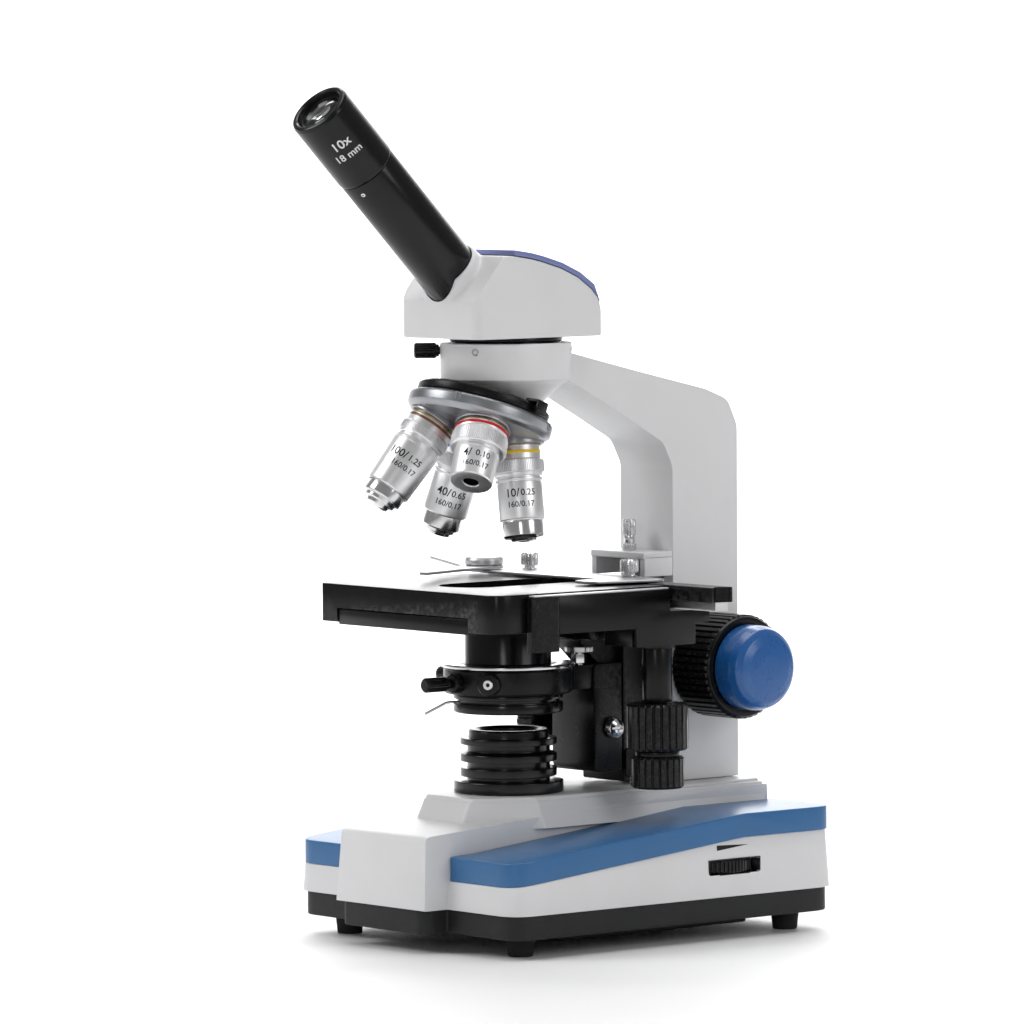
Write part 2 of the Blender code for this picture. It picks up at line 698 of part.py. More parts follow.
def objective(name, place_index, steps, front=None):
    """An objective built down its own axis: steps of (radius, distance below the shoulder)."""
    start = SEAT_DISTANCE
    outer = [(THREAD_RADIUS, start - 0.0045), (THREAD_RADIUS, start)]
    outer += [(radius, start + below) for radius, below in steps]
    end = outer[-1][1]
    bore = 0.0034 if front is None else front[0][0] + GAP
    depth = 0.0025 if front is None else 0.0045
    profile = [(0.0, outer[0][1]), *outer, (bore, end), (bore, end - depth), (0.0, end - depth)]
    frame = {"location": (0, 0, APEX_Z), "turn": along(objective_direction(place_index))}
    turned(name, profile[::-1], "satin_chrome", 20, **frame)
    if front is None:
        return
    top = end - depth + FRONT_TRAVEL + GAP
    tip = [(0.0, top), (front[0][0], top)] + [(radius, end + below) for radius, below in front[1:]]
    finish = tip[-1][1]
    tip += [(0.0012, finish), (0.0012, finish - 0.0008), (0.0, finish - 0.0008)]
    turned(name + "_front", tip[::-1], "satin_chrome", 20, **frame)


def objectives():
    """Four objectives in order round the turret; the two strongest have spring-loaded fronts."""
    common = [(0.0100, 0.0), (0.0100, 0.0030), (0.0113, 0.0030), (0.0113, 0.0086), (0.0098, 0.0090), (0.0098, 0.0142)]
    low = [(0.0118, 0.0), (0.0118, 0.0112), (0.0099, 0.0118), (0.0092, 0.0235), (0.0088, 0.0260)]
    objective("objective_10x", 0, [*common, (0.0097, 0.0310), (0.0086, 0.0318), (0.0086, 0.0385), (0.0055, 0.0398)])
    objective("objective_4x", 1, low)
    oil = [(0.0107, 0.0), (0.0107, 0.0045), (0.0113, 0.0045), (0.0113, 0.0090), (0.0107, 0.0095), (0.0101, 0.0350)]
    objective("objective_100x", 2, oil, [(0.0088, 0.0), (0.0084, 0.0050), (0.0055, 0.0054), (0.0050, 0.0092)])
    dry = [*common, (0.0097, 0.0330)]
    objective("objective_40x", 3, dry, [(0.0083, 0.0), (0.0080, 0.0060), (0.0050, 0.0066), (0.0046, 0.0100)])


# ---------------------------------------------------------------------------------------------------
# Head, tube and eyepiece


def head_side(sink):
    """The head from the side; the top falls away in one curve to the rear."""
    rear = HEAD_REAR
    top = []
    for step in range(9):
        share = step / 8
        y = rear - 0.0005 - (rear + 0.0125) * share
        top.append((y, 0.2684 + 0.0262 * math.sin(share * math.pi / 2) ** 0.80 - sink))
    return [(HEAD_FRONT, HEAD_BOTTOM), (rear, HEAD_BOTTOM), (rear, 0.2672 - sink), *top, (-0.024, 0.2925), (HEAD_FRONT, 0.2790)]


def tube_frame():
    """Where the tube's axis starts, and its rotation."""
    direction = (0, -math.cos(TUBE_ANGLE), math.sin(TUBE_ANGLE))
    return {"location": (0, 0, TUBE_CROSS_Z), "turn": along(direction)}


def head():
    """The white head with the boss that holds the tube, its trim, its flange and its prism."""
    plan = rectangle(-HEAD_HALF_WIDTH, HEAD_FRONT, HEAD_HALF_WIDTH, HEAD_REAR, HEAD_CORNER)
    body = extruded("head_housing", plan, HEAD_BOTTOM, 0.31, "white_paint")
    side = extruded_bm(head_side(TRIM_THICKNESS + GAP), -0.04, 0.04, "yz")
    keep(body, side, "side")
    boss = solid_profile((TUBE_RADIUS + 0.0015, 0.0425), (TUBE_RADIUS + 0.0028, 0.0385), (0.0225, 0.0270), (0.0225, 0.0240))
    join(body, turned_bm(boss), "boss", **tube_frame())
    cut(body, cylinder_bm(TUBE_RADIUS + GAP, TUBE_START - GAP, 0.06), "tube_bore", **tube_frame())
    cut(body, cylinder_bm(TUBE_BORE, 0.008, 0.06), "light_way", **tube_frame())
    cut(body, cylinder_bm(0.0150, 0.25, 0.2800, 32), "prism_well")
    trim_band = head_side(0.0)[2:11] + head_side(TRIM_THICKNESS)[10:1:-1]
    trim = extruded("head_trim", trim_band, -HEAD_HALF_WIDTH, HEAD_HALF_WIDTH, "violet_plastic", "yz")
    keep(trim, extruded_bm(plan, 0.25, 0.31), "plan")
    cut(trim, cylinder_bm(TUBE_RADIUS + 0.0030, 0.02, 0.08), "tube_clearance", **tube_frame())
    flange = [(0.0240, HEAD_BOTTOM - GAP), (0.0240, COLLAR_TOP - 0.0010), (0.0225, COLLAR_FLOOR + GAP)]
    flange += [(0.0140, COLLAR_FLOOR + GAP), (0.0140, HEAD_BOTTOM - GAP)]
    turned("head_dovetail", flange, "steel")
    across = [(-0.0080, 0.2620), (0.0080, 0.2620), (0.0080, 0.2780)]
    extruded("prism", across, -0.0075, 0.0075, "glass", "yz")


def tube():
    """The black inclined tube, with the eyepiece that drops into it."""
    bore = [(TUBE_BORE, TUBE_START), (TUBE_BORE, TUBE_END)]
    turned("eyepiece_tube", [(TUBE_RADIUS, TUBE_END), (TUBE_RADIUS, TUBE_START), *bore], "black_anodised", **tube_frame())
    start = TUBE_END + GAP
    end = start + EYEPIECE_LENGTH
    inner = EYEPIECE_RADIUS - 0.0042
    outer = [(EYEPIECE_RADIUS - 0.0016, end), (EYEPIECE_RADIUS, end - 0.0018), (EYEPIECE_RADIUS, start)]
    outer += [(SLEEVE_RADIUS, start), (SLEEVE_RADIUS, start - SLEEVE_LENGTH)]
    hollow = [(inner, start - SLEEVE_LENGTH), (inner, end - 0.0036), (0.0100, end - 0.0036), (0.0105, end)]
    turned("eyepiece", outer + hollow, "black_anodised", **tube_frame())
    lens = [(0.0, end - 0.0018), (0.005, end - 0.0020), (0.0097, end - 0.0032), (0.0097, end - 0.0033)]
    lens += [(0.0, end - 0.0033)]
    turned("eye_lens", lens, "glass", 20, **tube_frame())


# ---------------------------------------------------------------------------------------------------
# Focusing drive


def focus_knobs():
    """Coarse and fine knobs on both ends of the coaxial shafts."""
    for name, side in (("left", -1), ("right", 1)):
        frame = {"location": (0, SHAFT_Y, SHAFT_Z), "turn": along((side, 0, 0))}
        ribs = extruded_bm(ribbed_outline(COARSE_RADIUS, COARSE_RIBS, 0.0009), COARSE_INNER, COARSE_OUTER)
        knob = place(f"coarse_knob_{name}", ribs, "black_plastic", **frame)
        cut(knob, cylinder_bm(SHAFT_RADIUS + GAP, 0.0, 0.035, SMALL_SIDES), "hub", **frame)
        cut(knob, cylinder_bm(FINE_RADIUS - 0.0015, 0.036, 0.06), "recess", **frame)
        cut(knob, cylinder_bm(FINE_SHAFT_RADIUS + GAP, 0.0, 0.06, SMALL_SIDES), "fine_bore", **frame)
        dome = [(0.0, COARSE_OUTER + FINE_LENGTH)]
        for step in range(1, 7):
            turn = step / 6 * math.pi / 2
            reach = (FINE_RADIUS - 0.0045) + 0.0045 * math.sin(turn)
            dome.append((reach, COARSE_OUTER + FINE_LENGTH - 0.0012 - 0.0040 * (1 - math.cos(turn))))
        start = COARSE_OUTER + GAP
        dome += [(FINE_RADIUS, start), (0.0060, start), (0.0060, 0.037), (FINE_SHAFT_RADIUS + GAP, 0.037)]
        dome += [(FINE_SHAFT_RADIUS + GAP, COARSE_OUTER + 0.004), (0.0, COARSE_OUTER + 0.004)]
        turned(f"fine_knob_{name}", dome, "blue_paint", **frame)
    centre = {"location": (0, SHAFT_Y, SHAFT_Z), "turn": along((1, 0, 0))}
    shaft = turned(
        "coarse_shaft",
        [(SHAFT_RADIUS, 0.0345), (SHAFT_RADIUS, -0.0345), (FINE_SHAFT_RADIUS + GAP, -0.0345), (FINE_SHAFT_RADIUS + GAP, 0.0345)],
        "steel",
        SMALL_SIDES,
        **centre,
    )
    teeth = extruded_bm(ribbed_outline(PINION_RADIUS, 14, 0.0011), -0.0045, 0.0045)
    pinion = place("coarse_shaft_pinion", teeth, None, **centre)
    cut(pinion, cylinder_bm(SHAFT_RADIUS - 0.001, -0.01, 0.01, SMALL_SIDES), "bore", **centre)
    combine(shaft, pinion, "UNION")
    reach = COARSE_OUTER + 0.004 - GAP
    turned("fine_shaft", solid_profile((FINE_SHAFT_RADIUS, reach), (FINE_SHAFT_RADIUS, -reach)), "steel", SMALL_SIDES, **centre)


def carriage():
    """The black focusing slide: column, tongue in the arm's slot and shelf under the stage."""
    shelf_top = LOWER_BOTTOM - GAP
    column = box(
        "focus_carriage",
        (-COLUMN_HALF_WIDTH, COLUMN_FRONT, COLUMN_BOTTOM),
        (COLUMN_HALF_WIDTH, ARM_FRONT - GAP, shelf_top),
        "black_paint",
    )
    neck_front = LOWER_REAR + 0.0020
    join(column, box_bm((-0.010, neck_front, shelf_top - 0.004), (0.010, ARM_FRONT - GAP, COLUMN_TOP)), "neck")
    tongue_rear = SHAFT_Y - PINION_RADIUS - 0.0035
    tongue_low = (-TONGUE_HALF_WIDTH, ARM_FRONT - 0.002, COLUMN_BOTTOM + 0.004)
    join(column, box_bm(tongue_low, (TONGUE_HALF_WIDTH, tongue_rear, COLUMN_TOP - 0.002)), "tongue")
    shelf = rectangle(-0.030, 0.0225, 0.030, COLUMN_FRONT + 0.004, 0.004)
    join(column, extruded_bm(shelf, shelf_top - 0.0065, shelf_top), "shelf")
    rack_low = (-0.004, tongue_rear + GAP, COLUMN_BOTTOM + 0.012)
    rack = box("focus_rack", rack_low, (0.004, SHAFT_Y - PINION_RADIUS - GAP, COLUMN_TOP - 0.006), "steel")
    return rack


def stop_parts():
    """The bracket on the arm that stops the stage short of the objectives, with its screw and nut."""
    top = 0.1634
    low = 0.1526
    front = 0.0622
    rear = ARM_FRONT - GAP
    bracket = box("stop_bracket", (-0.0178, front, low), (0.0178, rear, top), "white_paint")
    cut(bracket, box_bm((-0.0145, front - 0.01, low - 0.01), (0.0145, rear + 0.01, top - 0.0030)), "mouth")
    screw = {"location": (STOP_X, STOP_Y, 0)}
    cut(bracket, cylinder_bm(0.0020 + GAP, low, top + 0.01, SMALL_SIDES), "screw_hole", **screw)
    shank = cylinder_bm(0.0020, top - 0.0040, top + 0.0080, SMALL_SIDES)
    body = place("stop_screw", shank, "bright_chrome", **screw)
    join(body, extruded_bm(ribbed_outline(0.0030, 10, 0.0003), top + 0.0066, top + 0.0138), "grip", **screw)
    nut = place("stop_lock_nut", extruded_bm(ribbed_outline(0.0031, 10, 0.0003), top + GAP, top + 0.0030), "bright_chrome", **screw)
    cut(nut, cylinder_bm(0.0020 + GAP, top - 0.01, top + 0.01, SMALL_SIDES), "bore", **screw)


# ---------------------------------------------------------------------------------------------------
# Mechanical stage


def stadium(width, length, x=0.0, y=0.0, steps=8):
    """A slot's outline along Y."""
    run = (length - width) / 2
    points = []
    for end in (1, -1):
        for step in range(steps + 1):
            angle = math.pi * step / steps + (0 if end > 0 else math.pi)
            points.append((x + width / 2 * math.cos(angle), y + end * run + width / 2 * math.sin(angle)))
    return points


def stages():
    """The fixed lower plate and the upper plate that slides fore and aft over it."""
    rack_edge = LOWER_RIGHT + RACK_TAB
    lower = box("lower_stage", (LOWER_LEFT, STAGE_FRONT + 0.0003, LOWER_BOTTOM), (LOWER_RIGHT, LOWER_REAR, LOWER_TOP), "black_anodised")
    join(lower, box_bm((LOWER_RIGHT - 0.002, 0.012, LOWER_BOTTOM + 0.0007), (rack_edge, LOWER_REAR, LOWER_TOP - 0.0007)), "rack")
    cut(lower, cylinder_bm(CONDENSER_RADIUS + 0.0014, 0.12, 0.15), "condenser_hole")
    outline = rounded(
        [
            (STAGE_LEFT, STAGE_FRONT, 0.002),
            (STAGE_RIGHT, STAGE_FRONT, STAGE_CORNER),
            (STAGE_RIGHT, STAGE_REAR, 0.0),
            (STAGE_LEFT, STAGE_REAR, 0.002),
        ]
    )
    upper = extruded("upper_stage", outline, SKIRT_BOTTOM, STAGE_TOP, "black_anodised")
    run_left = LOWER_LEFT - 0.0005
    tunnel_top = STAGE_TOP - SLAB_THICKNESS
    run = box_bm((run_left, -0.1, 0.12), (LOWER_RIGHT + 0.0005, 0.1, tunnel_top))
    cut(upper, run, "tunnel")
    cut(upper, box_bm((LOWER_RIGHT - 0.001, -0.018, 0.12), (rack_edge + 0.0005, 0.1, tunnel_top)), "rack_way")
    cut(upper, extruded_bm(stadium(SLOT_WIDTH, SLOT_LENGTH, -0.002, 0.002), 0.13, 0.16), "slot")
    cut(upper, extruded_bm(stadium(0.042, 0.084, 0.0, -0.002), 0.13, STAGE_TOP - 0.0033), "pocket")
    cut(upper, cylinder_bm(0.0052, 0.12, STAGE_TOP - 0.004, SMALL_SIDES), "gear_well", location=(DRIVE_X, DRIVE_Y, 0))


def drive_side():
    """The drive housing's outer face, from the side."""
    low = SKIRT_BOTTOM - 0.0012
    rear_top = RAIL_TOP - RAIL_HEIGHT - RACK_HEIGHT - 0.0006
    return [
        (-0.0370, 0.1285),
        (-0.0210, 0.1285),
        (-0.0210, low),
        (DRIVE_Y - 0.0190, low),
        (DRIVE_Y - 0.0190, 0.1250),
        (DRIVE_Y + 0.0130, 0.1250),
        (DRIVE_Y + 0.0130, 0.1383),
        (DRIVE_Y + 0.0210, 0.1383),
        (DRIVE_Y + 0.0210, rear_top),
        (STAGE_REAR - 0.0004, rear_top),
        (STAGE_REAR - 0.0004, 0.1512),
        (-0.0370, 0.1512),
    ]


def stage_drive():
    """The side housing with the drop tube, and the two coaxial knobs below it."""
    left = STAGE_RIGHT + GAP
    housing = extruded("stage_drive_housing", drive_side(), left, HOUSING_RIGHT, "black_anodised", "yz")
    plan = rounded(
        [
            (left, -0.040, 0.0),
            (left + 0.0005, -0.0370, 0.0),
            (HOUSING_RIGHT, -0.0370, 0.0035),
            (HOUSING_RIGHT, 0.065, 0.0),
            (left - 0.03, 0.065, 0.0),
            (left - 0.03, -0.040, 0.0),
        ]
    )
    keep(housing, extruded_bm(plan, 0.10, 0.16), "plan")
    floor_top = SKIRT_BOTTOM - 0.0012
    join(housing, box_bm((LOWER_RIGHT + RACK_TAB - 0.0080, DRIVE_Y - 0.0190, 0.1250), (left + 0.002, DRIVE_Y + 0.0130, LOWER_BOTTOM - 0.0004)), "gear_box")
    where = {"location": (DRIVE_X, DRIVE_Y, 0)}
    join(housing, cylinder_bm(DRIVE_TUBE_RADIUS, DRIVE_TUBE_BOTTOM, 0.1260), "tube", **where)
    cut(housing, cylinder_bm(0.0042, 0.09, floor_top + 0.004, SMALL_SIDES), "bore", **where)
    cut(housing, cylinder_bm(0.0052, LOWER_BOTTOM - 0.001, 0.16, SMALL_SIDES), "gear_way", **where)
    y_knob_top = DRIVE_TUBE_BOTTOM - GAP
    ribs = ribbed_outline(Y_KNOB_RADIUS, 20, 0.0009)
    y_knob = place("y_knob", extruded_bm(ribs, Y_KNOB_BOTTOM, y_knob_top), "black_plastic", **where)
    sleeve = [(0.0038, 0.1362), (0.0038, Y_KNOB_BOTTOM + 0.004), (0.0030, Y_KNOB_BOTTOM + 0.004), (0.0030, 0.1362)]
    join(y_knob, turned_bm(sleeve, SMALL_SIDES), "sleeve", **where)
    gear_bm = extruded_bm(ribbed_outline(0.0043, 14, 0.0006), 0.1360, LOWER_TOP - 0.0006)
    join(y_knob, gear_bm, "gear", **where)
    cut(y_knob, cylinder_bm(0.0026, 0.05, 0.16, SMALL_SIDES), "bore", **where)
    x_ribs = ribbed_outline(X_KNOB_RADIUS, 18, 0.0009)
    x_knob = place("x_knob", extruded_bm(x_ribs, X_KNOB_BOTTOM, X_KNOB_TOP), "black_plastic", **where)
    join(x_knob, cylinder_bm(0.0098, X_KNOB_TOP - 0.001, Y_KNOB_BOTTOM - GAP, 24), "neck", **where)
    shaft_top = RAIL_TOP - RAIL_HEIGHT - GAP
    join(x_knob, cylinder_bm(0.0022, X_KNOB_TOP - 0.001, shaft_top - 0.001, SMALL_SIDES), "shaft", **where)
    join(x_knob, extruded_bm(ribbed_outline(0.0028, 12, 0.0004), LOWER_TOP + 0.0004, shaft_top), "gear", **where)


def slide_carrier():
    """The left-right rail with its rack, the slide holder, its screws and its sprung finger."""
    rail_bottom = RAIL_TOP - RAIL_HEIGHT
    rail = box("x_rail", (RAIL_LEFT, RAIL_FRONT, rail_bottom), (RAIL_RIGHT, RAIL_FRONT + RAIL_DEPTH, RAIL_TOP), "black_anodised")
    rack_front = DRIVE_Y + 0.0028 + 0.0002
    rack = box_bm((RACK_LEFT, rack_front, rail_bottom - RACK_HEIGHT), (RAIL_RIGHT - 0.002, RAIL_FRONT + RAIL_DEPTH - 0.0012, rail_bottom + 0.001))
    join(rail, rack, "rack")
    low = RAIL_TOP + GAP
    high = low + HOLDER_THICKNESS
    outline = [
        (FINGER_X - 0.007, FINGER_Y - 0.004),
        (FINGER_X + 0.006, FINGER_Y - 0.006),
        (-0.036, 0.0290),
        (0.0255, 0.0290),
        (0.0275, 0.0145),
        (0.0345, 0.0135),
        (0.0400, 0.0165),
        (0.0480, 0.0500),
        (-0.0480, 0.0500),
        (FINGER_X - 0.007, FINGER_Y + 0.006),
    ]
    holder = extruded("slide_holder", outline, low, high, "satin_chrome")
    for name, x in zip(("left", "right"), HOLDER_SCREWS):
        where = {"location": (x, RAIL_FRONT + RAIL_DEPTH / 2 + 0.001, 0)}
        cut(holder, cylinder_bm(0.0017, low - 0.01, high + 0.01, 16), "screw_" + name, **where)
        cut(rail, cylinder_bm(0.0017, rail_bottom + 0.002, high, 16), "screw_" + name, **where)
        grip = extruded_bm(ribbed_outline(0.0040, 10, 0.0004), high + GAP, high + 0.0076)
        screw = place(f"holder_screw_{name}", grip, "bright_chrome", **where)
        join(screw, cylinder_bm(0.0014, rail_bottom + 0.0025, high + 0.002, 16), "shank", **where)
    pivot = {"location": (FINGER_X, FINGER_Y, 0)}
    finger_low = high + GAP
    blade = rounded(
        [
            (-0.0380, 0.0030, 0.001),
            (-0.0375, -0.0005, 0.001),
            (-0.0060, -0.0070, 0.0),
            (0.0050, -0.0300, 0.010),
            (0.0240, -0.0560, 0.001),
            (0.0270, -0.0545, 0.001),
            (0.0130, -0.0280, 0.010),
            (0.0090, 0.0000, 0.004),
            (0.0060, 0.0070, 0.004),
            (-0.0060, 0.0070, 0.004),
        ],
        3,
    )
    finger = extruded("slide_finger", blade, finger_low, finger_low + 0.0012, "satin_chrome", **pivot)
    cap = [(0.0060, finger_low + 0.0056), (0.0085, finger_low + 0.0044), (0.0085, finger_low + 0.0010)]
    join(finger, turned_bm(solid_profile(*cap), 20), "cap", **pivot)


# ---------------------------------------------------------------------------------------------------
# Condenser


def condenser():
    """The condenser in its ring, carried by a rack-and-pinion slide under the stage."""
    ring = [(RING_RADIUS, RING_TOP), (RING_RADIUS, RING_BOTTOM), (RING_BORE, RING_BOTTOM), (RING_BORE, RING_TOP)]
    carrier = turned("condenser_carrier", ring, "black_paint")
    half = CARRIER_HALF_WIDTH
    join(carrier, box_bm((-half + 0.001, RING_BORE + 0.0045, RING_BOTTOM), (half - 0.001, CARRIER_FRONT + 0.004, RING_TOP)), "fork")
    block_rear = COLUMN_FRONT - GAP
    join(carrier, box_bm((-half, CARRIER_FRONT, CARRIER_BOTTOM), (half, block_rear, RING_TOP)), "block")
    shaft = {"location": (0, CONDENSER_SHAFT_Y, CONDENSER_SHAFT_Z), "turn": along((1, 0, 0))}
    cut(carrier, cylinder_bm(0.0030 + GAP, -0.03, 0.03, SMALL_SIDES), "shaft_bore", **shaft)
    hinge_z = (RING_TOP + RING_BOTTOM) / 2
    for name, direction in (("left", (-1, 0, 0)), ("front", (0, -1, 0))):
        screw = {"location": (0, 0, hinge_z), "turn": along(direction)}
        cut(carrier, cylinder_bm(0.0017, 0.018, 0.032, 16), "screw_" + name, **screw)
        grip = place(f"centring_screw_{name}", extruded_bm(ribbed_outline(0.0032, 10, 0.0003), 0.0340, 0.0465), "black_plastic", **screw)
        join(grip, cylinder_bm(0.0014, RING_BORE - 0.0002, 0.036, 16), "shank", **screw)
    stop = {"location": (CONDENSER_STOP_X, CONDENSER_STOP_Y, 0)}
    cut(carrier, cylinder_bm(0.0023, 0.10, 0.13, 16), "stop_hole", **stop)
    disc_top = LOWER_BOTTOM - 0.0105
    knurl = place("condenser_stop_screw", extruded_bm(ribbed_outline(0.0062, 16, 0.0003), disc_top - 0.0024, disc_top), "bright_chrome", **stop)
    join(knurl, cylinder_bm(0.0020, RING_BOTTOM + 0.002, disc_top - 0.001, 16), "shank", **stop)
    disc_low = RING_TOP + GAP
    inside = RING_BORE - GAP
    outer = [(CONDENSER_RADIUS, CONDENSER_TOP), (CONDENSER_RADIUS, disc_low + 0.0018), (CONDENSER_DISC_RADIUS, disc_low + 0.0018)]
    outer += [(CONDENSER_DISC_RADIUS, disc_low), (inside, disc_low), (inside, RING_BOTTOM - GAP)]
    outer += [(CONDENSER_LOW_RADIUS, RING_BOTTOM - GAP), (CONDENSER_LOW_RADIUS, CONDENSER_BOTTOM)]
    hollow = [(0.0150, CONDENSER_BOTTOM), (0.0150, CONDENSER_TOP - 0.0060), (0.0122, CONDENSER_TOP - 0.0045), (0.0122, CONDENSER_TOP)]
    body = turned("condenser_body", outer + hollow, "black_anodised")
    for name, direction in (("left", (-1, 0, 0)), ("front", (0, -1, 0))):
        screw = {"location": (0, 0, hinge_z), "turn": along(direction)}
        cut(body, cylinder_bm(0.0018, inside - 0.0010, 0.030, 16), "dimple_" + name, **screw)
    slot_low = RING_BOTTOM - 0.0046
    slot = [(0.030, slot_low + 0.0014), (0.030, slot_low - 0.0004), (0.0190, slot_low - 0.0004), (0.0190, slot_low + 0.0014)]
    cut(body, turned_bm(slot), "lever_slot")
    lens = [(0.0, CONDENSER_TOP - 0.0005), (0.006, CONDENSER_TOP - 0.0010), (0.0118, CONDENSER_TOP - 0.0032)]
    lens += [(0.0118, CONDENSER_TOP - 0.0042), (0.0, CONDENSER_TOP - 0.0042)]
    turned("condenser_lens", lens, "glass", 20)
    lever(slot_low)
    drive = [(0.0047, 0.0188), (0.0047, half + 0.0006), (0.0030, half + 0.0006), (0.0030, -0.0265)]
    knob = [(0.0105, -0.0265), (0.0105, -0.0385)]
    turned("condenser_knob", solid_profile(*drive, *knob), "black_plastic", 20, **shaft)


def lever(slot_low):
    """The bent wire lever that opens the iris."""
    reach = 0.0245
    points = [(0.0195, slot_low + 0.0005), (reach, slot_low + 0.0005), (0.0365, slot_low - 0.0045)]
    curve = bpy.data.curves.new("iris_lever", "CURVE")
    curve.dimensions = "3D"
    curve.bevel_depth = 0.0006
    curve.bevel_resolution = 2
    curve.use_fill_caps = True
    line = curve.splines.new("POLY")
    line.points.add(len(points) - 1)
    angle = math.radians(IRIS_ANGLE)
    for target, (radius, height) in zip(line.points, points):
        target.co = (radius * math.cos(angle), radius * math.sin(angle), height, 1.0)
    obj = bpy.data.objects.new("iris_lever", curve)
    curve.materials.append(MATERIALS["satin_chrome"])
    bpy.context.scene.collection.objects.link(obj)


def centre_on_footprint():
    """Moves everything so that the origin is under the middle of the model's box."""
    bpy.context.view_layer.update()
    graph = bpy.context.evaluated_depsgraph_get()
    low = Vector((1.0, 1.0, 1.0))
    high = -low
    for obj in bpy.context.scene.objects:
        if obj.hide_render:
            continue
        evaluated = obj.evaluated_get(graph)
        mesh = evaluated.to_mesh()
        for vert in mesh.vertices:
            point = evaluated.matrix_world @ vert.co
            low = Vector(map(min, low, point))
            high = Vector(map(max, high, point))
        evaluated.to_mesh_clear()
    shift = Vector((-(low.x + high.x) / 2, -(low.y + high.y) / 2, -low.z))
    for obj in bpy.context.scene.objects:
        if obj.parent is None:
            obj.location += shift
    print("origin shift", tuple(round(value, 6) for value in shift))


def main():
    clear_scene()
    make_materials()
    base_housing()
    base_plate()
    feet()
    wing_pads()
    lamp()
    dial()
    inlet()
    arm()
    head_lock_screw()
    nosepiece()
    objectives()
    head()
    tube()
    focus_knobs()
    carriage()
    stop_parts()
    stages()
    stage_drive()
    slide_carrier()
    condenser()
    centre_on_footprint()


main()
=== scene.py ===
"""A student compound microscope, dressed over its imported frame.

Every operator builds one piece or one group of like pieces. Shapes are written in millimetres about the
optical axis, with the table at height 0, the user at -Y and the arm at +Y.
"""

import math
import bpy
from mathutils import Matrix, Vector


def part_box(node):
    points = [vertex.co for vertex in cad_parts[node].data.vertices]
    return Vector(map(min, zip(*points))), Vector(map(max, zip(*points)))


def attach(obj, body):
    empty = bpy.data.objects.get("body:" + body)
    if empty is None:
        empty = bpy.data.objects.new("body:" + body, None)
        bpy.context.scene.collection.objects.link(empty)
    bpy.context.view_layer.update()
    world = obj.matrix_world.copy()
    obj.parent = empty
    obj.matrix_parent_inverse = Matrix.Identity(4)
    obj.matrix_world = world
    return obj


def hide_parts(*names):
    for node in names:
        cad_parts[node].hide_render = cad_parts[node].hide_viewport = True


bl_info = {
    "name": "Student microscope",
    "version": (1, 0, 0),
    "blender": (4, 5, 0),
    "location": "View3D > Sidebar > Microscope",
    "description": "Builds the pieces of a student compound microscope over its frame",
    "category": "Add Mesh",
}

import bmesh
import bpy
from bpy.props import FloatProperty, FloatVectorProperty, IntProperty, PointerProperty
from mathutils import Matrix, Vector

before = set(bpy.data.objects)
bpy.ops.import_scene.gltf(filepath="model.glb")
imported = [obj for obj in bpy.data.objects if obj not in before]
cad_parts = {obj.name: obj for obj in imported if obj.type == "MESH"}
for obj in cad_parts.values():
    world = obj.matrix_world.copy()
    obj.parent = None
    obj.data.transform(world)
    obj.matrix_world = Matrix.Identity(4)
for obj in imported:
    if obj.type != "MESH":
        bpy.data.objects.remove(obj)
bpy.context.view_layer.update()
MM = 0.001


def axis_place():
    """The optical axis, from the middle of the lamp housing."""
    low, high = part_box("lamp_housing")
    return Matrix.Translation(((low[0] + high[0]) / 2, (low[1] + high[1]) / 2, 0.0))


AXIS = axis_place()
TILT = math.radians(19.5)
TURNED = math.radians(31.0)
APEX = AXIS @ Matrix.Translation((0, 0, 0.2665))
TURRET = APEX @ Matrix.Rotation(math.pi - TILT, 4, "X")
TUBE = AXIS @ Matrix.Translation((0, 0, 0.2555)) @ Matrix.Rotation(math.radians(45), 4, "X")
FOCUS = AXIS @ Matrix.Translation((0, 0.0985, 0.1133))


def toward(direction):
    """The turn that takes +Z to a direction."""
    return Vector((0, 0, 1)).rotation_difference(Vector(direction)).to_matrix().to_4x4()


def objective_place(index):
    """The shoulder of one of the four objectives, looking out along its axis."""
    angle = TURNED + index * math.tau / 4
    down = Vector((0, -math.sin(TILT), -math.cos(TILT)))
    back = Vector((0, math.cos(TILT), -math.sin(TILT)))
    across = back * math.cos(angle) + Vector((1, 0, 0)) * math.sin(angle)
    out = down * math.cos(TILT) + across * math.sin(TILT)
    side = across.cross(down).normalized()
    up = out.cross(side)
    turn = Matrix((side, up, out)).transposed().to_4x4()
    return APEX @ turn @ Matrix.Translation((0, 0, 0.056))


# ---------------------------------------------------------------------------------------------------
# What a user may change


class MICROSCOPE_PG_sizes(bpy.types.PropertyGroup):
    """Sizes of details that don't change how the pieces fit."""

    sides: IntProperty(
        name="Round sides", description="Facets of a turned piece", default=96, min=24, max=256
    )
    coarse_ribs: IntProperty(
        name="Coarse ribs", description="Ribs round a coarse knob", default=46, min=20, max=80
    )
    stage_ribs: IntProperty(
        name="Stage knob ribs", description="Ribs round a stage knob", default=24, min=12, max=40
    )
    dial_ribs: IntProperty(
        name="Dial ribs", description="Ribs round the brightness dial", default=58, min=24, max=90
    )
    knurl: IntProperty(
        name="Objective knurl", description="Cuts round an objective's grip", default=84, min=40, max=140
    )
    arm_edge: FloatProperty(
        name="Arm edge", description="Roundness of the arm's edges", default=0.0022, min=0.0005, max=0.004,
        unit="LENGTH"
    )
    pad_edge: FloatProperty(
        name="Pad edge", description="Roundness of the pads' top edges", default=0.0022, min=0.0005,
        max=0.004, unit="LENGTH"
    )
    numeral: FloatProperty(
        name="Numerals", description="Height of the objectives' large numerals", default=0.0050, min=0.0030,
        max=0.006, unit="LENGTH"
    )


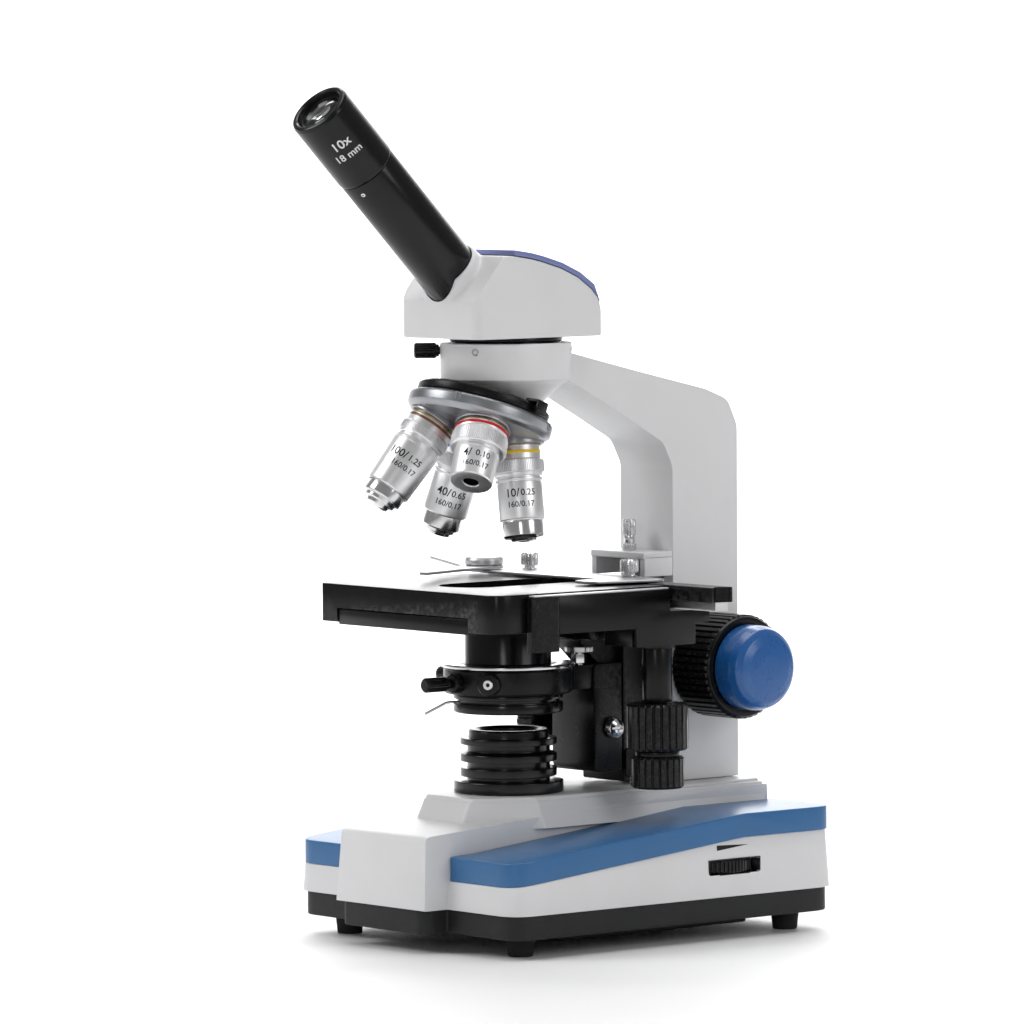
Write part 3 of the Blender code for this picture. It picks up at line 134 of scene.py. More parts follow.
class MICROSCOPE_PG_colours(bpy.types.PropertyGroup):
    """Colours of the paints, plastics and bands."""

    body: FloatVectorProperty(
        name="Body", description="Paint on the arm, head and base", subtype="COLOR",
        default=(0.74, 0.74, 0.75), min=0, max=1
    )
    pads: FloatVectorProperty(
        name="Pads", description="Caps on the base's wings", subtype="COLOR", default=(0.035, 0.145, 0.340),
        min=0, max=1
    )
    trim: FloatVectorProperty(
        name="Trim", description="Cap along the head", subtype="COLOR", default=(0.190, 0.225, 0.460),
        min=0, max=1
    )
    knob: FloatVectorProperty(
        name="Fine knob", description="Fine focus knobs", subtype="COLOR", default=(0.012, 0.100, 0.330),
        min=0, max=1
    )
    band_4: FloatVectorProperty(
        name="Band 4", description="Band on the weakest objective", subtype="COLOR",
        default=(0.60, 0.012, 0.015), min=0, max=1
    )
    band_10: FloatVectorProperty(
        name="Band 10", description="Band on the second objective", subtype="COLOR",
        default=(0.80, 0.55, 0.01), min=0, max=1
    )
    band_40: FloatVectorProperty(
        name="Band 40", description="Band on the third objective", subtype="COLOR",
        default=(0.03, 0.22, 0.60), min=0, max=1
    )
    band_100: FloatVectorProperty(
        name="Band 100", description="Band on the strongest objective", subtype="COLOR",
        default=(0.20, 0.085, 0.03), min=0, max=1
    )


def sizes():
    return bpy.context.scene.microscope_sizes


def colours():
    return bpy.context.scene.microscope_colours


# ---------------------------------------------------------------------------------------------------
# Shared surface effects


def new_group(name, inputs, outputs):
    """An empty shader group with named sockets."""
    group = bpy.data.node_groups.new(name, "ShaderNodeTree")
    for socket, kind, default in inputs:
        made = group.interface.new_socket(socket, in_out="INPUT", socket_type=kind)
        made.default_value = default
    for socket, kind in outputs:
        group.interface.new_socket(socket, in_out="OUTPUT", socket_type=kind)
    return group, group.nodes.new("NodeGroupInput"), group.nodes.new("NodeGroupOutput")


def link(tree, start, end):
    tree.links.new(start, end)


def node(tree, kind, **settings):
    made = tree.nodes.new(kind)
    for key, value in settings.items():
        setattr(made, key, value)
    return made


def math_node(tree, operation, first, second=None):
    """A Math node whose inputs are sockets or numbers."""
    made = node(tree, "ShaderNodeMath", operation=operation)
    for slot, value in enumerate((first, second)):
        if isinstance(value, (int, float)):
            made.inputs[slot].default_value = value
        elif value is not None:
            link(tree, value, made.inputs[slot])
    return made.outputs[0]


def mapped(tree, value, low, high, to_low, to_high):
    """A value taken from one range to another, where the target may be sockets."""
    made = node(tree, "ShaderNodeMapRange")
    link(tree, value, made.inputs["Value"])
    for name, bound in (("From Min", low), ("From Max", high), ("To Min", to_low), ("To Max", to_high)):
        if isinstance(bound, (int, float)):
            made.inputs[name].default_value = bound
        else:
            link(tree, bound, made.inputs[name])
    return made.outputs["Result"]


def mixed(tree, factor, first, second):
    """A colour mixed by a factor socket."""
    made = node(tree, "ShaderNodeMix", data_type="RGBA")
    link(tree, factor, made.inputs["Factor"])
    for slot, value in ((6, first), (7, second)):
        if isinstance(value, tuple):
            made.inputs[slot].default_value = value
        else:
            link(tree, value, made.inputs[slot])
    return made.outputs[2]


def noise(tree, place, scale, detail=3.0, rough=0.5):
    """Noise over an object's own coordinates."""
    made = node(tree, "ShaderNodeTexNoise")
    made.inputs["Detail"].default_value = detail
    made.inputs["Roughness"].default_value = rough
    link(tree, place, made.inputs["Vector"])
    if isinstance(scale, (int, float)):
        made.inputs["Scale"].default_value = scale
    else:
        link(tree, scale, made.inputs["Scale"])
    return made.outputs["Fac"]


def tone_group():
    """Slow drift of colour and gloss over a surface."""
    tree, given, out = new_group(
        "tone_drift",
        [
            ("Colour", "NodeSocketColor", (0.8, 0.8, 0.8, 1)),
            ("Shade", "NodeSocketColor", (0.7, 0.7, 0.7, 1)),
            ("Scale", "NodeSocketFloat", 30.0),
            ("Gloss low", "NodeSocketFloat", 0.3),
            ("Gloss high", "NodeSocketFloat", 0.4),
        ],
        [("Colour", "NodeSocketColor"), ("Roughness", "NodeSocketFloat")],
    )
    place = node(tree, "ShaderNodeTexCoord").outputs["Object"]
    wide = noise(tree, place, given.outputs["Scale"], 4.0)
    link(
        tree,
        mixed(
            tree, mapped(tree, wide, 0.35, 0.65, 0.0, 1.0), given.outputs["Colour"], given.outputs["Shade"]
        ),
        out.inputs["Colour"]
    )
    fine = noise(tree, place, math_node(tree, "MULTIPLY", given.outputs["Scale"], 7.0), 5.0, 0.6)
    gloss = mapped(tree, fine, 0.3, 0.7, given.outputs["Gloss low"], given.outputs["Gloss high"])
    link(tree, gloss, out.inputs["Roughness"])
    return tree


def grain_group():
    """Fine height over a surface: paint skin, moulded grain or cast skin."""
    tree, given, out = new_group(
        "fine_grain",
        [("Scale", "NodeSocketFloat", 900.0), ("Pits", "NodeSocketFloat", 0.3)],
        [("Height", "NodeSocketFloat")],
    )
    place = node(tree, "ShaderNodeTexCoord").outputs["Object"]
    soft = noise(tree, place, given.outputs["Scale"], 4.0, 0.55)
    cells = node(tree, "ShaderNodeTexVoronoi", feature="F1")
    link(tree, place, cells.inputs["Vector"])
    link(tree, given.outputs["Scale"], cells.inputs["Scale"])
    pits = math_node(tree, "MULTIPLY", cells.outputs["Distance"], given.outputs["Pits"])
    link(tree, math_node(tree, "ADD", soft, pits), out.inputs["Height"])
    return tree


def dust_group():
    """A little dust that has settled on what faces up."""
    tree, given, out = new_group(
        "settled_dust",
        [
            ("Colour", "NodeSocketColor", (0.1, 0.1, 0.1, 1)),
            ("Dust", "NodeSocketColor", (0.6, 0.58, 0.55, 1)),
            ("Amount", "NodeSocketFloat", 0.1),
        ],
        [("Colour", "NodeSocketColor"), ("Mask", "NodeSocketFloat")],
    )
    facing = node(tree, "ShaderNodeSeparateXYZ")
    link(tree, node(tree, "ShaderNodeNewGeometry").outputs["Normal"], facing.inputs[0])
    up = mapped(tree, facing.outputs["Z"], 0.55, 1.0, 0.0, 1.0)
    place = node(tree, "ShaderNodeTexCoord").outputs["Object"]
    specks = mapped(tree, noise(tree, place, 1500.0, 2.0), 0.62, 0.72, 0.25, 1.0)
    mask = math_node(tree, "MULTIPLY", math_node(tree, "MULTIPLY", up, specks), given.outputs["Amount"])
    link(tree, mixed(tree, mask, given.outputs["Colour"], given.outputs["Dust"]), out.inputs["Colour"])
    link(tree, mask, out.inputs["Mask"])
    return tree


def wear_group():
    """Edges rubbed lighter by handling."""
    tree, given, out = new_group(
        "edge_wear",
        [
            ("Colour", "NodeSocketColor", (0.02, 0.02, 0.02, 1)),
            ("Worn", "NodeSocketColor", (0.2, 0.2, 0.2, 1)),
            ("Amount", "NodeSocketFloat", 0.5),
        ],
        [("Colour", "NodeSocketColor"), ("Mask", "NodeSocketFloat")],
    )
    sharp = node(tree, "ShaderNodeNewGeometry").outputs["Pointiness"]
    edge = mapped(tree, sharp, 0.56, 0.70, 0.0, 1.0)
    place = node(tree, "ShaderNodeTexCoord").outputs["Object"]
    patches = mapped(tree, noise(tree, place, 420.0, 4.0), 0.40, 0.62, 0.15, 1.0)
    mask = math_node(tree, "MULTIPLY", math_node(tree, "MULTIPLY", edge, patches), given.outputs["Amount"])
    link(tree, mixed(tree, mask, given.outputs["Colour"], given.outputs["Worn"]), out.inputs["Colour"])
    link(tree, mask, out.inputs["Mask"])
    return tree


def lathe_group():
    """Fine rings left by turning, along a piece's own axis."""
    tree, given, out = new_group(
        "turning_marks",
        [
            ("Spacing", "NodeSocketFloat", 9000.0), ("Low", "NodeSocketFloat", 0.2),
            ("High", "NodeSocketFloat", 0.3)
        ],
        [("Roughness", "NodeSocketFloat"), ("Height", "NodeSocketFloat")],
    )
    place = node(tree, "ShaderNodeTexCoord").outputs["Object"]
    parts = node(tree, "ShaderNodeSeparateXYZ")
    link(tree, place, parts.inputs[0])
    flat = node(tree, "ShaderNodeCombineXYZ")
    link(tree, parts.outputs["X"], flat.inputs[0])
    link(tree, parts.outputs["Y"], flat.inputs[1])
    length = node(tree, "ShaderNodeVectorMath", operation="LENGTH")
    link(tree, flat.outputs[0], length.inputs[0])
    along = math_node(tree, "ADD", parts.outputs["Z"], length.outputs["Value"])
    line = node(tree, "ShaderNodeTexNoise", noise_dimensions="1D")
    line.inputs["Detail"].default_value = 3.0
    link(tree, math_node(tree, "MULTIPLY", along, given.outputs["Spacing"]), line.inputs["W"])
    line.inputs["Scale"].default_value = 1.0
    gloss = mapped(tree, line.outputs["Fac"], 0.3, 0.7, given.outputs["Low"], given.outputs["High"])
    link(tree, gloss, out.inputs["Roughness"])
    link(tree, line.outputs["Fac"], out.inputs["Height"])
    return tree


GROUPS = {}
FINISHES = {}


def placed(tree, name, **values):
    """A shared effect placed in a material with its own values."""
    made = node(tree, "ShaderNodeGroup")
    made.node_tree = GROUPS[name]
    for key, value in values.items():
        socket = made.inputs[key.replace("_", " ").capitalize()]
        if hasattr(value, "links"):
            link(tree, value, socket)
        else:
            socket.default_value = (*value, 1.0) if isinstance(value, tuple) else value
    return made


def new_material(name, colour, roughness, metallic=0.0):
    """A material with its shader, whose constants sit on the shader's own sockets."""
    made = bpy.data.materials.new(name)
    made.use_nodes = True
    made.diffuse_color = (*colour, 1.0)
    shader = made.node_tree.nodes["Principled BSDF"]
    shader.inputs["Base Color"].default_value = (*colour, 1.0)
    shader.inputs["Roughness"].default_value = roughness
    shader.inputs["Metallic"].default_value = metallic
    FINISHES[name] = made
    return made.node_tree, shader


def bumped(tree, shader, height, strength, distance=0.000012):
    """Height into the shader's normal."""
    bump = node(tree, "ShaderNodeBump")
    bump.inputs["Strength"].default_value = strength
    bump.inputs["Distance"].default_value = distance
    link(tree, height, bump.inputs["Height"])
    link(tree, bump.outputs["Normal"], shader.inputs["Normal"])


def shaded(colour, share):
    return tuple(channel * share for channel in colour)


def coated(name, colour, gloss, grain, strength, dust=0.04, shade=0.93, coat=0.0, worn=None, wear=0.4):
    """Paint or plastic: drifting tone, fine skin, a little dust and, where handled, worn edges."""
    tree, shader = new_material(name, colour, gloss[0])
    tone = placed(
        tree, "tone_drift", colour=colour, shade=shaded(colour, shade), scale=28.0, gloss_low=gloss[0],
        gloss_high=gloss[1]
    )
    tint = tone.outputs["Colour"]
    if worn:
        tint = placed(tree, "edge_wear", colour=tint, worn=worn, amount=wear).outputs["Colour"]
    settled = placed(tree, "settled_dust", colour=tint, dust=(0.62, 0.61, 0.59), amount=dust)
    link(tree, settled.outputs["Colour"], shader.inputs["Base Color"])
    link(tree, tone.outputs["Roughness"], shader.inputs["Roughness"])
    skin = placed(tree, "fine_grain", scale=grain, pits=0.35)
    bumped(tree, shader, skin.outputs["Height"], strength)
    shader.inputs["Specular IOR Level"].default_value = 0.5 if colour[1] > 0.02 else 0.26
    shader.inputs["Coat Weight"].default_value = coat
    shader.inputs["Coat Roughness"].default_value = 0.12
    return tree, shader


def metal(name, colour, low, high, spacing=9000.0, strength=0.05, anodised=False):
    """Turned metal with its fine rings, bare or anodised."""
    tree, shader = new_material(name, colour, low, 0.0 if anodised else 1.0)
    marks = placed(tree, "turning_marks", spacing=spacing, low=low, high=high)
    tone = placed(
        tree, "tone_drift", colour=colour, shade=shaded(colour, 0.88), scale=60.0, gloss_low=low,
        gloss_high=high
    )
    tint = tone.outputs["Colour"]
    if anodised:
        shader.inputs["Specular IOR Level"].default_value = 0.34
        tint = placed(
            tree, "edge_wear", colour=tint, worn=(0.16, 0.16, 0.165), amount=0.15
        ).outputs["Colour"]
    link(tree, tint, shader.inputs["Base Color"])
    link(tree, marks.outputs["Roughness"], shader.inputs["Roughness"])
    bumped(tree, shader, marks.outputs["Height"], strength, 0.00001)
    return tree, shader


def clear_glass(name, tint):
    """Coated optical glass: a faint tint, with smears of cleaning in its gloss."""
    tree, shader = new_material(name, tint, 0.03)
    shader.inputs["Transmission Weight"].default_value = 1.0
    shader.inputs["IOR"].default_value = 1.52
    shader.inputs["Coat Weight"].default_value = 0.3
    tone = placed(
        tree, "tone_drift", colour=tint, shade=shaded(tint, 0.9), scale=120.0, gloss_low=0.015,
        gloss_high=0.06
    )
    link(tree, tone.outputs["Roughness"], shader.inputs["Roughness"])
    link(tree, tone.outputs["Colour"], shader.inputs["Base Color"])


def build_finishes():
    """Every shared effect, then every finish."""
    for make in (tone_group, grain_group, dust_group, wear_group, lathe_group):
        group = make()
        GROUPS[group.name] = group
    paint = colours()
    coated("white_paint", tuple(paint.body), (0.30, 0.40), 1500.0, 0.10, 0.03, 0.965)
    coated("white_plastic", tuple(paint.body), (0.34, 0.46), 2200.0, 0.10, 0.03, 0.965)
    coated("blue_plastic", tuple(paint.pads), (0.29, 0.32), 2400.0, 0.03, 0.0, 0.95)
    coated("violet_plastic", tuple(paint.trim), (0.30, 0.34), 2400.0, 0.03, 0.0, 0.95)
    coated("blue_paint", tuple(paint.knob), (0.26, 0.30), 1700.0, 0.04, 0.0, 0.94, 0.25)
    coated(
        "black_paint", (0.004, 0.004, 0.0042), (0.26, 0.32), 2600.0, 0.30, 0.05, 0.8, 0.0,
        (0.10, 0.10, 0.10), 0.3
    )
    coated("plate_paint", (0.018, 0.018, 0.019), (0.42, 0.50), 1500.0, 0.35, 0.04, 0.8)
    coated(
        "black_plastic", (0.005, 0.005, 0.0053), (0.20, 0.27), 3000.0, 0.20, 0.06, 0.8, 0.0,
        (0.11, 0.105, 0.10), 0.45
    )
    coated(
        "stage_black", (0.003, 0.003, 0.0033), (0.22, 0.27), 3600.0, 0.10, 0.03, 0.8, 0.0,
        (0.13, 0.13, 0.13), 0.35
    )
    coated("rubber", (0.016, 0.016, 0.016), (0.65, 0.80), 1200.0, 0.40, 0.12, 0.8)
    coated("print_black", (0.012, 0.012, 0.014), (0.40, 0.50), 3000.0, 0.05, 0.0)
    coated("print_white", (0.80, 0.80, 0.80), (0.45, 0.55), 3000.0, 0.05, 0.0)
    coated("circuit_board", (0.020, 0.160, 0.060), (0.30, 0.40), 900.0, 0.15, 0.05)
    coated("band_4", tuple(paint.band_4), (0.22, 0.30), 2500.0, 0.05, 0.0)
    coated("band_10", tuple(paint.band_10), (0.22, 0.30), 2500.0, 0.05, 0.0)
    coated("band_40", tuple(paint.band_40), (0.22, 0.30), 2500.0, 0.05, 0.0)
    coated("band_100", tuple(paint.band_100), (0.22, 0.30), 2500.0, 0.05, 0.0)
    metal("satin_chrome", (0.90, 0.90, 0.91), 0.34, 0.42, 9000.0, 0.06)
    metal("bright_chrome", (0.78, 0.78, 0.79), 0.16, 0.22, 5000.0, 0.03)
    metal("grey_turret", (0.36, 0.37, 0.39), 0.28, 0.36, 6000.0, 0.05)
    metal("steel", (0.50, 0.50, 0.51), 0.28, 0.40, 4000.0, 0.10)
    metal("holder_silver", (0.60, 0.60, 0.61), 0.34, 0.42, 5000.0, 0.08)
    metal("brass", (0.42, 0.30, 0.16), 0.25, 0.35, 4000.0, 0.05)
    metal("black_anodised", (0.003, 0.003, 0.0033), 0.17, 0.23, 7000.0, 0.05, True)
    clear_glass("glass", (0.93, 0.96, 0.97))


# ---------------------------------------------------------------------------------------------------
# Mesh code, in millimetres


def softened(points, radius, steps=3, closed=True):
    """An outline or profile with its corners rounded, each by no more than its sides allow. A third number on a point is its own radius."""
    made = []
    count = len(points)
    for index, point in enumerate(points):
        own = point[2] if len(point) > 2 else radius
        here = Vector(point[:2])
        before = Vector(points[index - 1][:2]) - here
        after = Vector(points[(index + 1) % count][:2]) - here
        ends = not closed and index in (0, count - 1)
        if ends or own <= 0 or before.length < 1e-6 or after.length < 1e-6:
            made.append(tuple(here))
            continue
        angle = before.angle(after)
        if angle > math.radians(179):
            made.append(tuple(here))
            continue
        reach = min(own / math.tan(angle / 2), 0.48 * before.length, 0.48 * after.length)
        start = here + before.normalized() * reach
        end = here + after.normalized() * reach
        for step in range(steps + 1):
            share = step / steps
            made.append(tuple(start * (1 - share) ** 2 + here * 2 * share * (1 - share) + end * share**2))
    return made


def skin(rings, looped=False, capped=True):
    """A surface through rings of the same count of points."""
    bm = bmesh.new()
    rows = [[bm.verts.new(point) for point in ring] for ring in rings]
    pairs = list(zip(rows, rows[1:]))
    if looped:
        pairs.append((rows[-1], rows[0]))
    count = len(rows[0])
    for low, high in pairs:
        for index in range(count):
            after = (index + 1) % count
            bm.faces.new((low[index], low[after], high[after], high[index]))
    if capped and not looped:
        bm.faces.new(rows[0][::-1])
        bm.faces.new(rows[-1])
    return bm


def lathe(profile, soft=0.25, sides=None, closed=False, steps=2):
    """A profile of (radius, height) points turned about Z. An open one starts and ends on the axis."""
    sides = sides or sizes().sides
    turns = [math.tau * index / sides for index in range(sides)]
    points = softened(profile, soft, steps, closed)
    rings = [
        [(max(r, 1e-5) * math.cos(a), max(r, 1e-5) * math.sin(a), z) for a in turns] for r, z in points
    ]
    bm = skin(rings, closed, False)
    bmesh.ops.remove_doubles(bm, verts=bm.verts, dist=1e-3)
    return bm


def grip(radius, ribs, depth, low, high, chamfer=0.4, crest=0.52):
    """A ribbed round grip with chamfered ends."""
    shape = ((0.0, 0.25), (0.06, 0.0), (crest, 0.0), (crest + 0.06, 0.25), (crest + 0.14, 1.0), (0.92, 1.0))
    rings = []
    for height, shrink in ((low, chamfer), (low + chamfer, 0.0), (high - chamfer, 0.0), (high, chamfer)):
        ring = []
        for rib in range(ribs):
            for share, sink in shape:
                angle = math.tau * (rib + share) / ribs
                reach = min(radius - depth * sink, radius - shrink)
                ring.append((reach * math.cos(angle), reach * math.sin(angle), height))
        rings.append(ring)
    return skin(rings)


def prism(outline, low, high, plane="xy"):
    """An outline made solid between two heights of the third axis."""
    order = {"xy": (0, 1, 2), "yz": (2, 0, 1), "xz": (0, 2, 1)}[plane]
    rings = []
    for level in (low, high):
        rings.append([[(a, b, level)[k] for k in order] for a, b in outline])
    return skin(rings)


def rounded(bm, radius, steps=3, angle=35.0, chosen=None):
    """Rounds the edges sharper than an angle."""
    bmesh.ops.recalc_face_normals(bm, faces=bm.faces)
    limit = math.radians(angle)
    edges = [e for e in bm.edges if len(e.link_faces) == 2 and e.calc_face_angle() > limit]
    if chosen:
        edges = [e for e in edges if chosen(e)]
    bmesh.ops.bevel(
        bm, geom=edges, offset=radius, segments=steps, profile=0.5, affect="EDGES", clamp_overlap=True
    )
    return bm


def block(low, high, radius=0.4, steps=2, corner=0.0):
    """A block with its edges rounded, and its upright corners by more."""
    outline = [(low[0], low[1]), (high[0], low[1]), (high[0], high[1]), (low[0], high[1])]
    bm = prism(softened(outline, corner, 5), low[2], high[2])
    return rounded(bm, radius, steps)


def sliced(bm, point, normal):
    """Keeps what lies behind a plane, and closes the cut."""
    geometry = bm.verts[:] + bm.edges[:] + bm.faces[:]
    bmesh.ops.bisect_plane(bm, geom=geometry, plane_co=point, plane_no=normal, clear_outer=True, dist=1e-5)
    edges = [e for e in bm.edges if e.is_boundary]
    if edges:
        bmesh.ops.holes_fill(bm, edges=edges, sides=0)
    return bm


def together(*parts):
    """Several meshes in one."""
    whole = bmesh.new()
    for part in parts:
        mesh = bpy.data.meshes.new("part")
        part.to_mesh(mesh)
        part.free()
        whole.from_mesh(mesh)
        bpy.data.meshes.remove(mesh)
    return whole


def moved(bm, matrix):
    """A mesh moved by a matrix whose shift is in millimetres."""
    bmesh.ops.transform(bm, matrix=matrix, verts=bm.verts)
    return bm


def shifted(bm, x=0.0, y=0.0, z=0.0):
    return moved(bm, Matrix.Translation((x, y, z)))


def tube_along(points, radius, sides=12):
    """A round bar along a line of points, with closed ends."""
    rings = []
    path = [Vector(p) for p in points]
    side = Vector((0, 0, 1))
    for index, point in enumerate(path):
        ahead = path[min(index + 1, len(path) - 1)] - path[max(index - 1, 0)]
        ahead.normalize()
        across = ahead.cross(side)
        across = across.normalized() if across.length > 1e-3 else ahead.orthogonal().normalized()
        up = across.cross(ahead)
        ring = []
        for turn in range(sides):
            angle = math.tau * turn / sides
            ring.append(point + (across * math.cos(angle) + up * math.sin(angle)) * radius)
        rings.append(ring)
    return skin(rings)


def piece(name, bm, finish, body, at=None, stands_for=(), angle=32.0):
    """Turns a mesh in millimetres into a named object that rides on a body."""
    bmesh.ops.scale(bm, vec=(MM, MM, MM), verts=bm.verts)
    bmesh.ops.remove_doubles(bm, verts=bm.verts, dist=2e-7)
    bmesh.ops.recalc_face_normals(bm, faces=bm.faces)
    mesh = bpy.data.meshes.new(name)
    bm.to_mesh(mesh)
    bm.free()
    mesh.shade_smooth()
    mesh.set_sharp_from_angle(angle=math.radians(angle))
    obj = bpy.data.objects.new(name, mesh)
    bpy.context.scene.collection.objects.link(obj)
    obj.matrix_world = at or AXIS
    mesh.materials.append(FINISHES[finish])
    bpy.context.view_layer.update()
    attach(obj, body)
    if stands_for:
        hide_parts(*stands_for)
    return obj


def carved(bm, *cutters):
    """A mesh with others cut out of it."""
    made = [bpy.data.objects.new("carve", bpy.data.meshes.new("carve")) for _ in range(len(cutters) + 1)]
    for obj, shape in zip(made, (bm, *cutters)):
        bmesh.ops.recalc_face_normals(shape, faces=shape.faces)
        shape.to_mesh(obj.data)
        shape.free()
        bpy.context.scene.collection.objects.link(obj)
    for cutter in made[1:]:
        change = made[0].modifiers.new("cut", "BOOLEAN")
        change.operation = "DIFFERENCE"
        change.solver = "EXACT"
        change.use_self = True
        change.object = cutter
    return evaluated(made)


def evaluated(made):
    """The first helper's finished mesh, with all the helpers removed."""
    bpy.context.view_layer.update()
    graph = bpy.context.evaluated_depsgraph_get()
    result = bmesh.new()
    mesh = bpy.data.meshes.new_from_object(made[0].evaluated_get(graph))
    result.from_mesh(mesh)
    bpy.data.meshes.remove(mesh)
    for obj in made:
        data = obj.data
        bpy.data.objects.remove(obj, do_unlink=True)
        bpy.data.meshes.remove(data)
    return result


def blended(bm, voxel, passes, strength=0.5):
    """Overlapping shapes melted into one skin, as a casting's fillets are."""
    obj = bpy.data.objects.new("melt", bpy.data.meshes.new("melt"))
    bmesh.ops.recalc_face_normals(bm, faces=bm.faces)
    bm.to_mesh(obj.data)
    bm.free()
    bpy.context.scene.collection.objects.link(obj)
    melt = obj.modifiers.new("melt", "REMESH")
    melt.mode = "VOXEL"
    melt.voxel_size = voxel
    ease = obj.modifiers.new("ease", "SMOOTH")
    ease.factor = strength
    ease.iterations = passes
    return evaluated([obj])


def lettering(words, height, radius, turn, along, taper=0.0):
    """Figures printed round a barrel, whose radius may grow along it: x goes round it and y along it."""
    curve = bpy.data.curves.new("words", "FONT")
    curve.body = words
    curve.size = height
    curve.offset = height * 0.012
    curve.align_x = "CENTER"
    curve.align_y = "CENTER"
    curve.resolution_u = 3
    curve.extrude = 0.02
    obj = bpy.data.objects.new("words", curve)
    bpy.context.scene.collection.objects.link(obj)
    bpy.context.view_layer.update()
    mesh = bpy.data.meshes.new_from_object(obj.evaluated_get(bpy.context.evaluated_depsgraph_get()))
    bm = bmesh.new()
    bm.from_mesh(mesh)
    bpy.data.meshes.remove(mesh)
    bpy.data.objects.remove(obj, do_unlink=True)
    bpy.data.curves.remove(curve)
    bmesh.ops.triangulate(bm, faces=bm.faces)
    for reach in (1.2, 0.7, 0.45):
        bmesh.ops.subdivide_edges(bm, edges=[e for e in bm.edges if e.calc_length() > reach], cuts=1)
        bmesh.ops.triangulate(bm, faces=bm.faces)
    for vert in bm.verts:
        angle = turn + vert.co.x / radius
        reach = radius + 0.035 + vert.co.z + taper * vert.co.y
        vert.co = Vector((reach * math.cos(angle), reach * math.sin(angle), along + vert.co.y))
    return bm


def socket_head(radius, height, hex_radius):
    """A small screw with a hexagonal socket."""
    ring = [(math.cos(math.tau * k / 24), math.sin(math.tau * k / 24)) for k in range(24)]

    def hexagon(x, y):
        angle = math.atan2(y, x) % (math.tau / 6) - math.tau / 12
        return hex_radius * math.cos(math.tau / 12) / math.cos(angle)

    outer = [[(radius * x, radius * y, z) for x, y in ring] for z in (-1.0, height - 0.15)]
    outer.append([((radius - 0.15) * x, (radius - 0.15) * y, height) for x, y in ring])
    inner = [[(hexagon(x, y) * x, hexagon(x, y) * y, z) for x, y in ring] for z in (height, height - 0.9)]
    return skin(outer + inner)


# ---------------------------------------------------------------------------------------------------
# Base


def slope(point_y, front=30.8, level=43.8, start=-59.2, end=70.0):
    """The line on which the pads lie."""
    share = (point_y - start) / (end - start)
    return front + (level - front) * min(1.0, share)


def under_slope(bm, lift):
    """Cuts a mesh off along the pads' line, lifted."""
    rise = Vector((0, -(43.8 - 30.8), 129.2)).normalized()
    sliced(bm, (0, 70.0, 43.8 + lift), rise)
    return sliced(bm, (0, 70.0, 43.8 + lift), (0, 0, 1))


def wing_plan(inset, corner=12.0):
    """The wings in plan."""
    half, front, rear = 75.0 - inset, -59.2 + inset, 123.2 - inset
    return softened([(-half, front), (half, front), (half, rear), (-half, rear)], corner - inset, 10)


def nose_plan(inset):
    """The floor's outline: the wings with the nose standing out."""
    half, front, rear, nose = 75.0 - inset, -59.2 + inset, 123.2 - inset, 30.0 - inset
    tip = -71.2 + inset
    corner = 12.0 - inset
    points = [(-half, front, corner), (-nose - 1.5, front, 1.2), (-nose, tip, 4.0), (nose - 1.0, tip, 7.0)]
    points += [(nose, front, 1.2), (half, front, corner), (half, rear, corner), (-half, rear, corner)]
    return softened(points, 0.0, 8)


def ring_at(outline, height):
    return [(x, y, height) for x, y in outline]


def pedestal_plan(grow):
    """The lamp's pedestal: three facets in front, running back under the arm."""
    front = -33.5 - grow
    points = [(-29.0 - grow, -9.0, 3.0), (-15.5, front, 3.0), (15.5, front, 3.0), (29.0 + grow, -9.0, 3.0)]
    return softened(points + [(29.0 + grow, 118.0, 1.5), (-29.0 - grow, 118.0, 1.5)], 0.0, 4)


